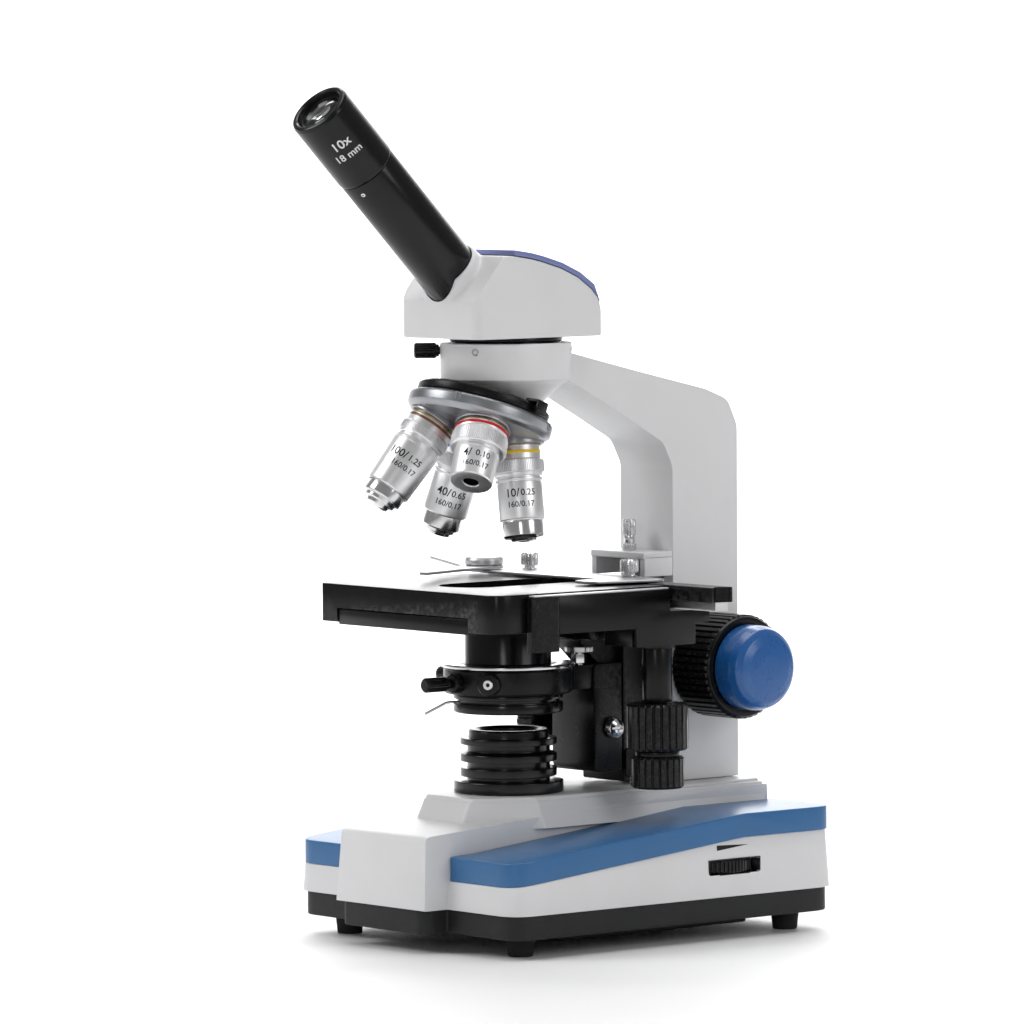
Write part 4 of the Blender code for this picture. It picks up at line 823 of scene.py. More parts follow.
class MICROSCOPE_OT_base(bpy.types.Operator):
    """Build the white base: wings, nose, deck and pedestal"""

    bl_idname = "microscope.base"
    bl_label = "Base"

    def execute(self, context):
        wings = skin([ring_at(wing_plan(0.0), 18.7), ring_at(wing_plan(2.7), 60.0)])
        under_slope(wings, -0.15)
        rounded(wings, 0.35, 2, 50.0)
        window = block((70.5, 49.4, 28.3), (80.0, 78.1, 34.5), 0.6, 2)
        well = prism([(66.0, 47.0), (72.5, 47.0), (72.5, 80.5), (66.0, 80.5)], 27.6, 35.2)
        pocket = shifted(lathe([(0, 35.0), (19.3, 35.0), (19.3, 28.0), (0, 28.0)], 0.0), 57.1, 63.8)
        wings = carved(wings, window, well, pocket)
        side = softened(
            [
                (-71.2, 18.7, 0.4), (120.5, 18.7, 0.4), (119.5, 60.4, 1.0), (72.0, 60.4, 30.0),
                (-40.0, 52.6, 20.0), (-69.2, 49.6, 3.6)
            ],
            0.4,
            6,
        )
        deck = prism(side, -32.6, 32.6, "yz")
        for vert in deck.verts:
            ahead = max(0.0, min(1.0, (-55.0 - vert.co.y) / 6.0))
            width = 32.6 - 2.6 * ahead
            lean = 1.0 - 0.055 * (vert.co.z - 18.7) / 31.0 * ahead
            vert.co.x = math.copysign(width * lean, vert.co.x)
        front = lambda e: all(v.co.y < -50 for v in e.verts)
        rounded(deck, 5.0, 5, 60.0, lambda e: front(e) and abs(e.verts[0].co.z - e.verts[1].co.z) > 8)
        rounded(deck, 1.6, 3, 50.0)
        steps = skin(
            [
                ring_at(pedestal_plan(6.5), 50.0), ring_at(pedestal_plan(1.5), 60.6),
                ring_at(pedestal_plan(0.9), 61.2)
            ]
        )
        top = skin([ring_at(pedestal_plan(1.5), 58.0), ring_at(pedestal_plan(0.0), 62.8)])
        rounded(top, 0.7, 3, 40.0, lambda e: min(v.co.z for v in e.verts) > 60)
        tier = rounded(
            prism(
                softened([(-31.5, 40.0), (31.5, 40.0), (31.5, 118.6), (-31.5, 118.6)], 2.0, 4), 55.0, 61.6
            ),
            0.6, 3
        )
        shape = together(wings, deck, steps, top, tier)
        piece("base_shell", shape, "white_plastic", "base", stands_for=["base_housing"])
        for name, low, high in (("upper", 34.45, 34.95), ("lower", 27.85, 28.35)):
            lip = block((68.0, 49.0, low), (74.35, 78.5, high), 0.1, 1)
            piece(f"dial_well_{name}", lip, "black_plastic", "base")
        for name, low, high in (("front", 48.95, 49.45), ("rear", 78.05, 78.55)):
            lip = block((69.0, low, 28.0), (74.35, high, 34.8), 0.1, 1)
            piece(f"dial_well_{name}", lip, "black_plastic", "base")
        wedge = prism([(54.2, 41.0), (54.2, 38.7), (72.4, 40.4)], 0.0, 0.06, "yz")
        for vert in wedge.verts:
            vert.co.x += 75.0 - 2.7 * (vert.co.z - 18.7) / 41.3
        piece("brightness_mark", wedge, "print_black", "base")
        return {"FINISHED"}


class MICROSCOPE_OT_floor_plate(bpy.types.Operator):
    """Build the black floor plate, its tray and the rubber feet"""

    bl_idname = "microscope.floor_plate"
    bl_label = "Floor plate and feet"

    def execute(self, context):
        plate = prism(nose_plan(1.7), 8.3, 18.5)
        rounded(plate, 2.0, 4, 50.0, lambda e: max(v.co.z for v in e.verts) < 9)
        tray = block((-52.0, -17.0, 3.7), (52.0, 92.0, 9.0), 0.8, 3, 5.0)
        piece("floor_plate", together(plate, tray), "plate_paint", "base", stands_for=["base_plate"])
        for end, y in (("front", -42.0), ("rear", 107.0)):
            for side, x in (("left", -57.8), ("right", 57.8)):
                foot = lathe(
                    [(0, 9.0), (6.3, 9.0), (5.3, 0.0), (2.6, 0.0), (2.4, 0.8), (0, 0.8)], 0.7, 48, False, 4
                )
                piece(
                    f"rubber_foot_{end}_{side}", shifted(foot, x, y), "rubber", "base",
                    stands_for=[f"foot_{end}_{side}"]
                )
        return {"FINISHED"}


class MICROSCOPE_OT_pads(bpy.types.Operator):
    """Build the blue caps on the wings"""

    bl_idname = "microscope.pads"
    bl_label = "Wing pads"

    def execute(self, context):
        edge = sizes().pad_edge / MM
        for name, side in (("left", -1), ("right", 1)):
            corners = [
                (30.4, -58.4, 3.5), (74.2, -58.4, 11.5), (74.2, 122.4, 11.5), (33.0, 122.4, 1.0),
                (33.0, -48.0, 8.0), (30.4, -54.0, 2.0)
            ]
            outline = softened([(side * x, y, r) for x, y, r in corners], 0.0, 10)
            pad = prism(outline, 15.0, 80.0)
            under_slope(pad, 10.0)
            for vert in pad.verts:
                if vert.co.z < 16:
                    vert.co.z = slope(vert.co.y)
            bmesh.ops.bisect_plane(
                pad, geom=pad.verts[:] + pad.edges[:] + pad.faces[:], plane_co=(0, 70.0, 0),
                plane_no=(0, 1, 0)
            )
            for vert in pad.verts:
                if vert.co.z < slope(vert.co.y) + 5.0:
                    vert.co.z = slope(vert.co.y)
            upper = lambda e: min(v.co.z - slope(v.co.y) for v in e.verts) > 5.0
            rounded(pad, edge, 5, 50.0, upper)
            rounded(pad, 0.5, 2, 50.0)
            piece(f"pad_{name}", pad, "blue_plastic", "base", stands_for=[f"wing_pad_{name}"])
        return {"FINISHED"}


class MICROSCOPE_OT_lamp(bpy.types.Operator):
    """Build the lamp housing, its lens and the lit board"""

    bl_idname = "microscope.lamp"
    bl_label = "Lamp"

    def execute(self, context):
        outer = [(12.9, 88.9), (14.6, 90.0), (16.6, 90.0), (17.2, 89.2), (17.2, 86.4)]
        for high, low in ((86.3, 83.6), (79.5, 76.3), (73.5, 69.9)):
            outer += [(20.6, high), (20.8, high - 0.3), (20.8, low), (17.8, low)]
            outer.append((17.8, low - 3.0 if low > 70 else 68.1))
        outer += [
            (23.4, 68.0), (23.6, 67.6), (23.6, 63.1), (13.0, 63.1), (13.0, 80.2), (11.4, 80.2),
            (11.4, 81.4), (12.9, 81.4)
        ]
        piece(
            "lamp_barrel", lathe(outer, 0.35, None, True, 3), "black_anodised", "base",
            stands_for=["lamp_housing"]
        )
        lens = [(0, 87.0)] + [
            (12.6 * math.sin(a), 81.9 + 5.1 * math.cos(a)) for a in [k * math.pi / 20 for k in range(1, 10)]
        ]
        piece(
            "lamp_lens", lathe(lens + [(12.6, 81.8), (0, 81.8)], 0.0), "glass", "base",
            stands_for=["collector_lens"]
        )
        cap = [(0, 59.5), (3.0, 59.4), (3.6, 58.9), (3.8, 57.6), (11.8, 57.6), (11.8, 56.0), (0, 56.0)]
        piece("lamp_board", lathe(cap, 0.15, 48), "circuit_board", "base", stands_for=["led_board"])
        return {"FINISHED"}


class MICROSCOPE_OT_dial(bpy.types.Operator):
    """Build the brightness dial and the power inlet"""

    bl_idname = "microscope.dial"
    bl_label = "Dial and inlet"

    def execute(self, context):
        at = AXIS @ Matrix.Translation((0.0750 + 0.0004 - 0.0183, 0.0638, 0.0315))
        wheel = grip(18.3, sizes().dial_ribs, 0.55, -2.6, 2.6, 0.5)
        piece("dial_wheel", wheel, "black_plastic", "brightness_dial", at, ["brightness_dial"])
        at = AXIS @ Matrix.Translation((-0.045, 0.1232, 0.026)) @ Matrix.Rotation(-math.pi / 2, 4, "X")
        ring = [(4.4, -0.4), (4.4, -11.0), (1.3, -11.0), (1.3, -9.2), (3.2, -9.2), (3.2, -0.4)]
        piece("inlet_ring", lathe(ring, 0.2, 48, True), "black_plastic", "base", at, ["power_inlet"])
        pin = [(0, -3.4), (0.9, -3.6), (1.0, -4.2), (1.0, -10.8), (0, -10.8)]
        piece("inlet_pin", lathe(pin, 0.2, 24), "bright_chrome", "base", at)
        return {"FINISHED"}


# ---------------------------------------------------------------------------------------------------
# Arm, collar and turret


class MICROSCOPE_OT_arm(bpy.types.Operator):
    """Build the cast arm with its collar, set screws and head lock"""

    bl_idname = "microscope.arm"
    bl_label = "Arm"

    def execute(self, context):
        side = [
            (78.9, 63.2, 0.3), (116.2, 63.2, 0.3), (116.4, 217.0, 9.0), (111.0, 228.5, 9.0),
            (98.0, 233.4, 12.0)
        ]
        side += [
            (57.8, 242.6, 30.0), (24.0, 250.7, 20.0), (8.0, 254.0, 0.0), (8.0, 244.0, 0.0),
            (24.4, 237.5, 10.0)
        ]
        side += [(56.0, 220.6, 30.0), (73.4, 211.0, 10.0), (78.9, 200.5, 10.0)]
        body = prism(softened(side, 0.0, 8), -17.5, 17.5, "yz")
        rounded(body, sizes().arm_edge / MM, 4, 50.0)
        slot = block((-11.2, 70.0, 50.0), (11.2, 106.0, 158.0), 0.3, 1)
        bore = moved(
            lathe([(0, 40), (5.8, 40), (5.8, -40), (0, -40)], 0.0, 32),
            Matrix.Translation((0, 98.5, 113.3)) @ toward((1, 0, 0))
        )
        body = carved(body, slot, bore)
        piece("cast_arm", body, "white_paint", "base", stands_for=["arm"])
        profile = [
            (24.8, 255.2), (24.8, 256.0), (28.3, 256.0), (28.3, 240.6), (26.6, 239.4), (25.2, 238.6),
            (18.0, 232.4), (12.8, 227.0)
        ]
        profile += [(11.4, 221.0), (11.4, 212.0), (11.0, 212.0), (11.0, 248.0), (24.8, 248.0)]
        collar = lathe(profile, 0.8, None, True, 4)
        plane = Vector((0, -math.sin(TILT), -math.cos(TILT)))
        sliced(collar, Vector((0, 0, 266.5)) + plane * 35.6, plane)
        piece("head_collar", collar, "white_paint", "base")
        for name, angle in (("front", -67.0), ("right", 42.0), ("rear", 170.0)):
            out = Vector((math.cos(math.radians(angle)), math.sin(math.radians(angle)), 0))
            at = AXIS @ Matrix.Translation(out * 0.0281 + Vector((0, 0, 0.2526))) @ toward(out)
            piece(f"collar_screw_{name}", socket_head(1.7, 0.5, 0.9), "bright_chrome", "base", at)
        lock = Vector((-0.638, -0.770, 0.0)).normalized()
        at = AXIS @ Matrix.Translation((0, 0, 0.2526)) @ toward(lock)
        shank = lathe([(0, 25.0), (1.8, 25.0), (1.8, 30.0), (0, 30.0)], 0.0, 24)
        neck = lathe([(0, 28.7), (2.7, 28.7), (2.7, 31.0), (0, 31.0)], 0.2, 32)
        head = together(shank, neck, grip(3.4, 20, 0.35, 29.7, 39.4, 0.7))
        piece("head_lock", head, "black_plastic", "head_lock_screw", at, ["head_lock_screw"])
        return {"FINISHED"}


class MICROSCOPE_OT_turret(bpy.types.Operator):
    """Build the fixed disc, the click spring and the turret"""

    bl_idname = "microscope.turret"
    bl_label = "Turret"

    def execute(self, context):
        disc = lathe(
            [(5.1, 36.0), (27.6, 36.0), (28.9, 37.0), (28.9, 40.2), (5.1, 40.2)], 0.5, 128, True, 3
        )
        piece("fixed_disc", disc, "black_paint", "base", TURRET, ["nosepiece_base"])
        angle = math.radians(-4)
        spring = block((24.5, -3.4, 34.5), (32.0, 3.4, 36.0), 0.4, 2, 1.2)
        lip = block((31.0, -3.4, 34.6), (32.4, 3.4, 40.3), 0.4, 2)
        clip = moved(together(spring, lip), Matrix.Rotation(angle - math.radians(8), 4, "Z"))
        piece("click_clip", clip, "black_paint", "base", TURRET, ["click_spring"])
        shape = [
            (0, 36.2), (4.8, 36.2), (4.8, 45.0), (25.5, 42.0), (25.5, 40.6), (29.6, 40.6), (31.3, 41.4),
            (31.6, 42.4)
        ]
        shape += [(31.6, 45.6), (31.0, 46.6), (29.4, 48.0), (24.0, 49.9), (9.0, 54.0), (0, 54.0)]
        parts = [lathe(shape, 0.6, 144, False, 3)]
        for place in range(4):
            local = TURRET.inverted() @ objective_place(place)
            local.translation *= 1000
            parts.append(
                moved(
                    lathe(
                        [(10.4, -6.0), (11.9, -6.0), (12.1, -0.6), (11.7, -0.3), (10.4, -0.3)], 0.25, None,
                        True
                    ),
                    local
                )
            )
        for turn in (31.0, 121.0, 211.0, 301.0):
            for step in (-1.7, 1.7):
                tick = block((31.2, -0.22, 41.4), (31.85, 0.22, 44.6), 0.08, 1)
                parts.append(moved(tick, Matrix.Rotation(math.radians(90 - turn + step), 4, "Z")))
        piece("turning_turret", together(*parts), "grey_turret", "turret", TURRET, ["turret"])
        hub = [(0, 54.05), (5.2, 54.05), (5.2, 55.0), (4.4, 55.6), (0, 55.6)]
        piece("turret_hub", lathe(hub, 0.25, 48), "black_anodised", "turret", TURRET)
        return {"FINISHED"}


def barrel(name, index, rings, knurls, band, node_name):
    """An objective's turned barrel, knurled grips, thread, coloured band and seat ring; its figures and
    nose are built apart.
    """
    at = objective_place(index)
    profile = [(0, -4.4), (9.9, -4.4), (9.9, 0.0)] + rings
    parts = [lathe(profile, 0.22, None, False, 2)]
    for radius, low, high in knurls:
        parts.append(grip(radius, sizes().knurl, 0.45, low, high, 0.3, 0.36))
    thread = []
    for turn in range(5):
        thread += [(9.75, -4.2 + turn * 0.75), (10.0, -3.85 + turn * 0.75)]
    parts.append(lathe([(9.4, -4.2)] + thread + [(9.4, -0.4)], 0.0, 64, True))
    piece(f"barrel_{name}", together(*parts), "satin_chrome", "turret", at, [node_name])
    radius, low, high = band
    stripe = lathe(
        [(radius - 0.6, low), (radius, low), (radius, high), (radius - 0.6, high)], 0.12, None, True
    )
    piece(f"colour_band_{name}", stripe, f"band_{name}", "turret", at)
    seat = lathe([(9.0, -0.3), (10.6, -0.3), (10.6, 0.2), (9.0, 0.2)], 0.1, None, True)
    piece(f"seat_ring_{name}", seat, "brass", "turret", at)
    return at


def facing_turn(at):
    """The way round a barrel that faces the user's right front."""
    out = at.to_3x3().inverted() @ Vector((0.770, -0.638, 0.0))
    return math.atan2(out.y, out.x)


def figures(name, at, power, aperture, split, along, radius, taper=0.0, lead=3.6):
    """A barrel's power, aperture, tube length and cover glass, set to be read with the nose down."""
    turn = facing_turn(at)
    size = sizes().numeral / MM
    lines = [(power, size, along, split - lead), (aperture, size * 0.78, along, split + 3.4)]
    lines.append(("160/0.17", size * 0.70, along + 4.9, 0.0))
    parts = []
    for words, height, place, shift in lines:
        reach = radius - taper * (place - along)
        text = lettering(words, height, reach, 0.0, 0.0, taper)
        moved(text, Matrix.Rotation(math.pi, 4, "X"))
        moved(text, Matrix.Rotation(turn - shift / reach, 4, "Z"))
        parts.append(shifted(text, 0, 0, place))
    piece(f"figures_{name}", together(*parts), "print_black", "turret", at)


def nose(name, index, profile, body, stands_for):
    """A bright turned nose with its front lens set in."""
    at = objective_place(index)
    piece(f"nose_{name}", lathe(profile, 0.2, None, False, 2), "bright_chrome", body, at, stands_for)


def front_lens(name, index, radius, depth, bulge, body):
    """The small glass at an objective's tip."""
    at = objective_place(index)
    rim = [
        (0, depth + bulge), (radius * 0.5, depth + bulge * 0.78), (radius * 0.85, depth + bulge * 0.3),
        (radius, depth), (radius, depth - 0.6), (0, depth - 0.6)
    ]
    piece(f"front_lens_{name}", lathe(rim, 0.0, 40), "glass", body, at)


class MICROSCOPE_OT_objectives(bpy.types.Operator):
    """Build the four objectives with their bands, figures and noses"""

    bl_idname = "microscope.objectives"
    bl_label = "Objectives"

    def execute(self, context):
        neck = [(9.9, 1.2), (10.0, 1.2), (10.0, 5.8)]
        rings = neck + [
            (10.7, 6.2), (10.7, 11.6), (10.2, 11.8), (10.2, 13.0), (9.2, 13.1), (9.2, 13.9), (10.2, 14.0),
            (10.2, 15.0), (9.2, 15.1), (9.2, 15.7), (9.7, 15.8)
        ]
        ten = rings + [(9.7, 31.4), (9.0, 31.6), (8.9, 32.2), (0, 32.2)]
        at = barrel("10", 0, ten, [(11.3, 6.3, 11.3)], (10.15, 2.2, 3.6), "objective_10x")
        nose(
            "10", 0,
            [
                (0, 32.0), (8.7, 32.0), (8.8, 33.0), (8.8, 38.4), (8.0, 39.4), (5.6, 39.6), (5.2, 40.6),
                (2.2, 40.6), (2.0, 40.2), (0, 40.2)
            ],
            "turret", ()
        )
        front_lens("10", 0, 1.9, 40.2, 0.3, "turret")
        figures("10", at, "10/", "0.25", 0.2, 20.6, 9.7)
        four = [
            (10.8, 0.4), (11.4, 0.9), (11.6, 1.4), (11.6, 3.6), (11.2, 3.9), (11.7, 4.2), (11.7, 10.8),
            (11.2, 11.2), (9.4, 11.3), (9.4, 12.2)
        ]
        four += [
            (9.9, 13.0), (9.7, 13.4), (9.15, 25.6), (8.8, 26.2), (3.6, 26.2), (3.4, 25.8), (3.4, 22.8),
            (0, 22.8)
        ]
        at = barrel("4", 1, four, [(12.2, 4.4, 10.6)], (11.75, 1.6, 2.9), "objective_4x")
        front_lens("4", 1, 2.2, 23.4, 0.4, "turret")
        well = lathe([(0, 22.9), (3.39, 22.9), (3.39, 25.7), (3.1, 25.7), (3.1, 23.2), (0, 23.2)], 0.05, 64)
        piece("lens_well_4", well, "black_anodised", "turret", at)
        figures("4", at, "4/", "0.10", -0.8, 16.6, 9.56, 0.045)
        oil = [
            (10.4, 0.6), (10.6, 1.0), (10.6, 5.0), (10.9, 5.2), (10.9, 9.4), (10.6, 9.6), (10.6, 10.8),
            (9.9, 10.9), (9.9, 12.0), (10.6, 12.1)
        ]
        oil += [(10.6, 13.4), (10.75, 13.8), (9.95, 34.4), (9.6, 35.0), (9.1, 35.0), (9.1, 31.0), (0, 31.0)]
        at = barrel("100", 2, oil, [(11.2, 5.3, 9.3)], (10.72, 1.4, 2.6), "objective_100x")
        tip = [
            (0, 33.0), (8.8, 33.0), (8.8, 39.4), (8.4, 40.0), (7.2, 40.2), (7.0, 41.6), (5.4, 42.0),
            (5.0, 43.4), (3.2, 44.0), (1.6, 44.2), (0, 44.2)
        ]
        nose("100", 2, tip, "objective_100x_front", ["objective_100x_front"])
        figures("100", at, "100/", "1.25", -0.6, 20.2, 10.51, 0.039, 5.2)
        dry = rings + [(9.7, 32.4), (9.4, 33.0), (8.6, 33.0), (8.6, 29.0), (0, 29.0)]
        at = barrel("40", 3, dry, [(11.3, 6.3, 11.3)], (10.15, 2.2, 3.6), "objective_40x")
        tip = [
            (0, 31.0), (8.3, 31.0), (8.3, 38.8), (7.8, 39.4), (6.6, 39.6), (6.4, 41.0), (5.0, 41.4),
            (4.8, 42.6), (2.2, 42.9), (2.0, 42.6), (0, 42.6)
        ]
        nose("40", 3, tip, "objective_40x_front", ["objective_40x_front"])
        front_lens("40", 3, 1.9, 42.6, 0.2, "objective_40x_front")
        figures("40", at, "40/", "0.65", 0.2, 22.6, 9.7)
        return {"FINISHED"}


# ---------------------------------------------------------------------------------------------------
# Head, tube and eyepiece

HEAD_TOP = [
    (34.0, 268.4), (31.0, 273.6), (26.7, 278.6), (19.0, 283.8), (9.7, 287.8), (0.0, 290.6), (-7.0, 292.2),
    (-16.5, 293.6), (-27.0, 293.8)
]


def head_plan(inset=0.0):
    """The head in plan."""
    half, front, rear = 26.0 - inset, -37.6 + inset, 34.2 - inset
    return softened(
        [(-half, front, 5.0), (half, front, 5.0), (half, rear, 5.5), (-half, rear, 5.5)], 0.0, 6
    )


class MICROSCOPE_OT_head(bpy.types.Operator):
    """Build the head, its trim and its flange"""

    bl_idname = "microscope.head"
    bl_label = "Head"

    def execute(self, context):
        body = prism(head_plan(), 258.4, 300.0)
        for (y0, z0), (y1, z1) in zip(HEAD_TOP, HEAD_TOP[1:]):
            normal = Vector((0, z1 - z0, -(y1 - y0))).normalized()
            sliced(body, (0, y0, z0), normal)
        sliced(body, (0, -24.0, 291.5), Vector((0, -1.25, 1.0)).normalized())
        sliced(body, (0, -36.9, 279.0), Vector((0, -1.0, 0.16)).normalized())
        flare = [
            (0, 47.0), (14.6, 46.6), (14.9, 42.4), (15.8, 38.0), (17.6, 33.0), (20.6, 27.5), (24.6, 22.0),
            (24.6, 14.0), (0, 14.0)
        ]
        funnel = moved(
            lathe(flare, 0.3, 72),
            Matrix.Translation((0, 0, 255.5)) @ Matrix.Rotation(math.radians(45), 4, "X")
        )
        for normal, point in (
            ((0, 0, -1), (0, 0, 258.4)), ((1, 0, 0), (26, 0, 0)), ((-1, 0, 0), (-26, 0, 0)),
            ((0, -1, 0), (0, -37.6, 0))
        ):
            sliced(funnel, point, normal)
        shape = blended(together(body, funnel), 0.55, 9)
        bore = moved(
            lathe([(0, 80.0), (13.4, 80.0), (13.4, 34.0), (0, 34.0)], 0.0, 96),
            Matrix.Translation((0, 0, 255.5)) @ Matrix.Rotation(math.radians(45), 4, "X")
        )
        piece(
            "head_shell", carved(shape, bore), "white_paint", "head", stands_for=["head_housing"],
            angle=50.0
        )
        line = [(y, z + 0.3) for y, z in HEAD_TOP[:8]]
        over = []
        for index, (y, z) in enumerate(line):
            after = line[min(index + 1, len(line) - 1)]
            before = line[max(index - 1, 0)]
            across = Vector((after[1] - before[1], -(after[0] - before[0]))).normalized()
            over.append((y + across.x * 2.3, z + across.y * 2.3))
        over[0] = (34.2, line[0][1] + 1.2)
        trim = prism(line + over[::-1], -26.0, 26.0, "yz")
        for vert in trim.verts:
            far = max(0.0, vert.co.y - 28.7) / 5.5
            vert.co.x *= 1.0 - 0.19 * far * far
        rounded(trim, 0.5, 3, 50.0)
        hole = moved(
            lathe([(0, 80.0), (15.2, 80.0), (15.2, 10.0), (0, 10.0)], 0.0, 96),
            Matrix.Translation((0, 0, 255.5)) @ Matrix.Rotation(math.radians(45), 4, "X")
        )
        piece(
            "head_cap", carved(trim, hole), "violet_plastic", "head", stands_for=["head_trim"], angle=50.0
        )
        flange = [
            (14.2, 258.3), (24.4, 258.3), (24.4, 257.0), (23.6, 256.4), (23.9, 255.2), (22.6, 248.5),
            (14.2, 248.5)
        ]
        piece(
            "head_flange", lathe(flange, 0.2, None, True), "black_anodised", "head",
            stands_for=["head_dovetail"]
        )
        wedge = rounded(prism([(-7.8, 262.2), (7.8, 262.2), (7.8, 277.8)], -7.3, 7.3, "yz"), 0.25, 2)
        piece("head_prism", wedge, "glass", "head", stands_for=["prism"])
        return {"FINISHED"}


class MICROSCOPE_OT_tube(bpy.types.Operator):
    """Build the inclined tube and its eyepiece"""

    bl_idname = "microscope.tube"
    bl_label = "Tube and eyepiece"

    def execute(self, context):
        wall = [(11.75, 108.0), (13.1, 108.0), (13.1, 34.6), (11.75, 34.6)]
        piece(
            "inclined_tube", lathe(wall, 0.25, None, True), "black_anodised", "head", TUBE,
            ["eyepiece_tube"]
        )
        end = 143.4
        shape = [
            (11.6, 108.4), (13.3, 108.4), (13.45, 109.2), (13.45, end - 1.6), (12.9, end - 0.3),
            (12.2, end), (11.2, end), (10.5, end - 0.5)
        ]
        shape += [(10.2, end - 2.8), (9.5, end - 3.2), (9.3, end - 4.0), (9.3, 85.0), (11.5, 85.0)]
        piece(
            "eyepiece_barrel", lathe(shape, 0.3, None, True, 3), "black_anodised", "eyepiece", TUBE,
            ["eyepiece"]
        )
        ring = [(9.0, end - 2.6), (10.1, end - 2.5), (10.0, end - 3.4), (9.0, end - 3.4)]
        piece("eyepiece_ring", lathe(ring, 0.15, None, True), "black_plastic", "eyepiece", TUBE)
        dome = [
            (0, end - 1.2), (3.4, end - 1.4), (6.4, end - 2.0), (8.4, end - 2.8), (9.2, end - 3.3),
            (9.2, end - 3.6), (0, end - 3.6)
        ]
        piece("top_lens", lathe(dome, 0.3), "glass", "eyepiece", TUBE, ["eye_lens"])
        stop = [(7.0, 112.0), (9.2, 112.0), (9.2, 113.0), (7.0, 113.0)]
        piece("field_stop", lathe(stop, 0.1, 64, True), "black_plastic", "eyepiece", TUBE)
        lower = [(0, 87.0), (5.0, 86.8), (9.0, 85.8), (9.0, 85.2), (0, 85.2)]
        piece("field_lens", lathe(lower, 0.2, 64), "glass", "eyepiece", TUBE)
        turn = facing_turn(TUBE)
        parts = []
        for words, height, along in (("10x", 6.0, 129.8), ("18 mm", 4.7, 123.8)):
            parts.append(lettering(words, height, 13.45, turn - 0.12, along))
        piece("eyepiece_figures", together(*parts), "print_white", "eyepiece", TUBE)
        out = Vector((math.cos(turn - 0.62), math.sin(turn - 0.62), 0))
        at = TUBE @ Matrix.Translation(out * 0.0131 + Vector((0, 0, 0.1035))) @ toward(out)
        piece("tube_screw", socket_head(0.95, 0.3, 0.5), "bright_chrome", "head", at)
        return {"FINISHED"}


# ---------------------------------------------------------------------------------------------------
# Focus, carriage and stop


class MICROSCOPE_OT_focus(bpy.types.Operator):
    """Build the coarse and fine focus knobs and their shafts"""

    bl_idname = "microscope.focus"
    bl_label = "Focus knobs"

    def execute(self, context):
        for name, side in (("left", -1), ("right", 1)):
            at = FOCUS @ toward((side, 0, 0))
            ribs = grip(22.7, sizes().coarse_ribs, 1.0, 19.2, 42.4, 0.9, 0.60)
            rim = lathe(
                [(18.9, 38.0), (18.9, 43.0), (21.4, 43.0), (22.0, 42.2), (22.0, 38.0)], 0.35, None, True, 3
            )
            hub = lathe([(0, 18.4), (12.0, 18.4), (12.0, 20.0), (0, 20.0)], 0.2)
            piece(
                f"coarse_grip_{name}", together(ribs, rim, hub), "black_plastic", "coarse_focus", at,
                [f"coarse_knob_{name}"]
            )
            dome = [
                (0, 58.7), (6.0, 58.6), (11.0, 58.2), (14.6, 57.2), (17.0, 55.2), (18.3, 51.8),
                (18.5, 48.0), (18.5, 43.4), (18.0, 43.0), (0, 43.0)
            ]
            piece(
                f"fine_dome_{name}", lathe(dome, 2.2, None, False, 4), "blue_paint", "fine_focus", at,
                [f"fine_knob_{name}"]
            )
        across = FOCUS @ toward((1, 0, 0))
        sleeve = lathe([(3.4, -34.4), (5.4, -34.4), (5.4, 34.4), (3.4, 34.4)], 0.2, 48, True)
        teeth = grip(6.9, 14, 1.3, -4.5, 4.5, 0.2, 0.36)
        piece("coarse_axle", together(sleeve, teeth), "steel", "coarse_focus", across, ["coarse_shaft"])
        piece(
            "fine_axle", lathe([(0, -46.6), (2.9, -46.6), (2.9, 46.6), (0, 46.6)], 0.3, 32), "steel",
            "fine_focus", across, ["fine_shaft"]
        )
        return {"FINISHED"}


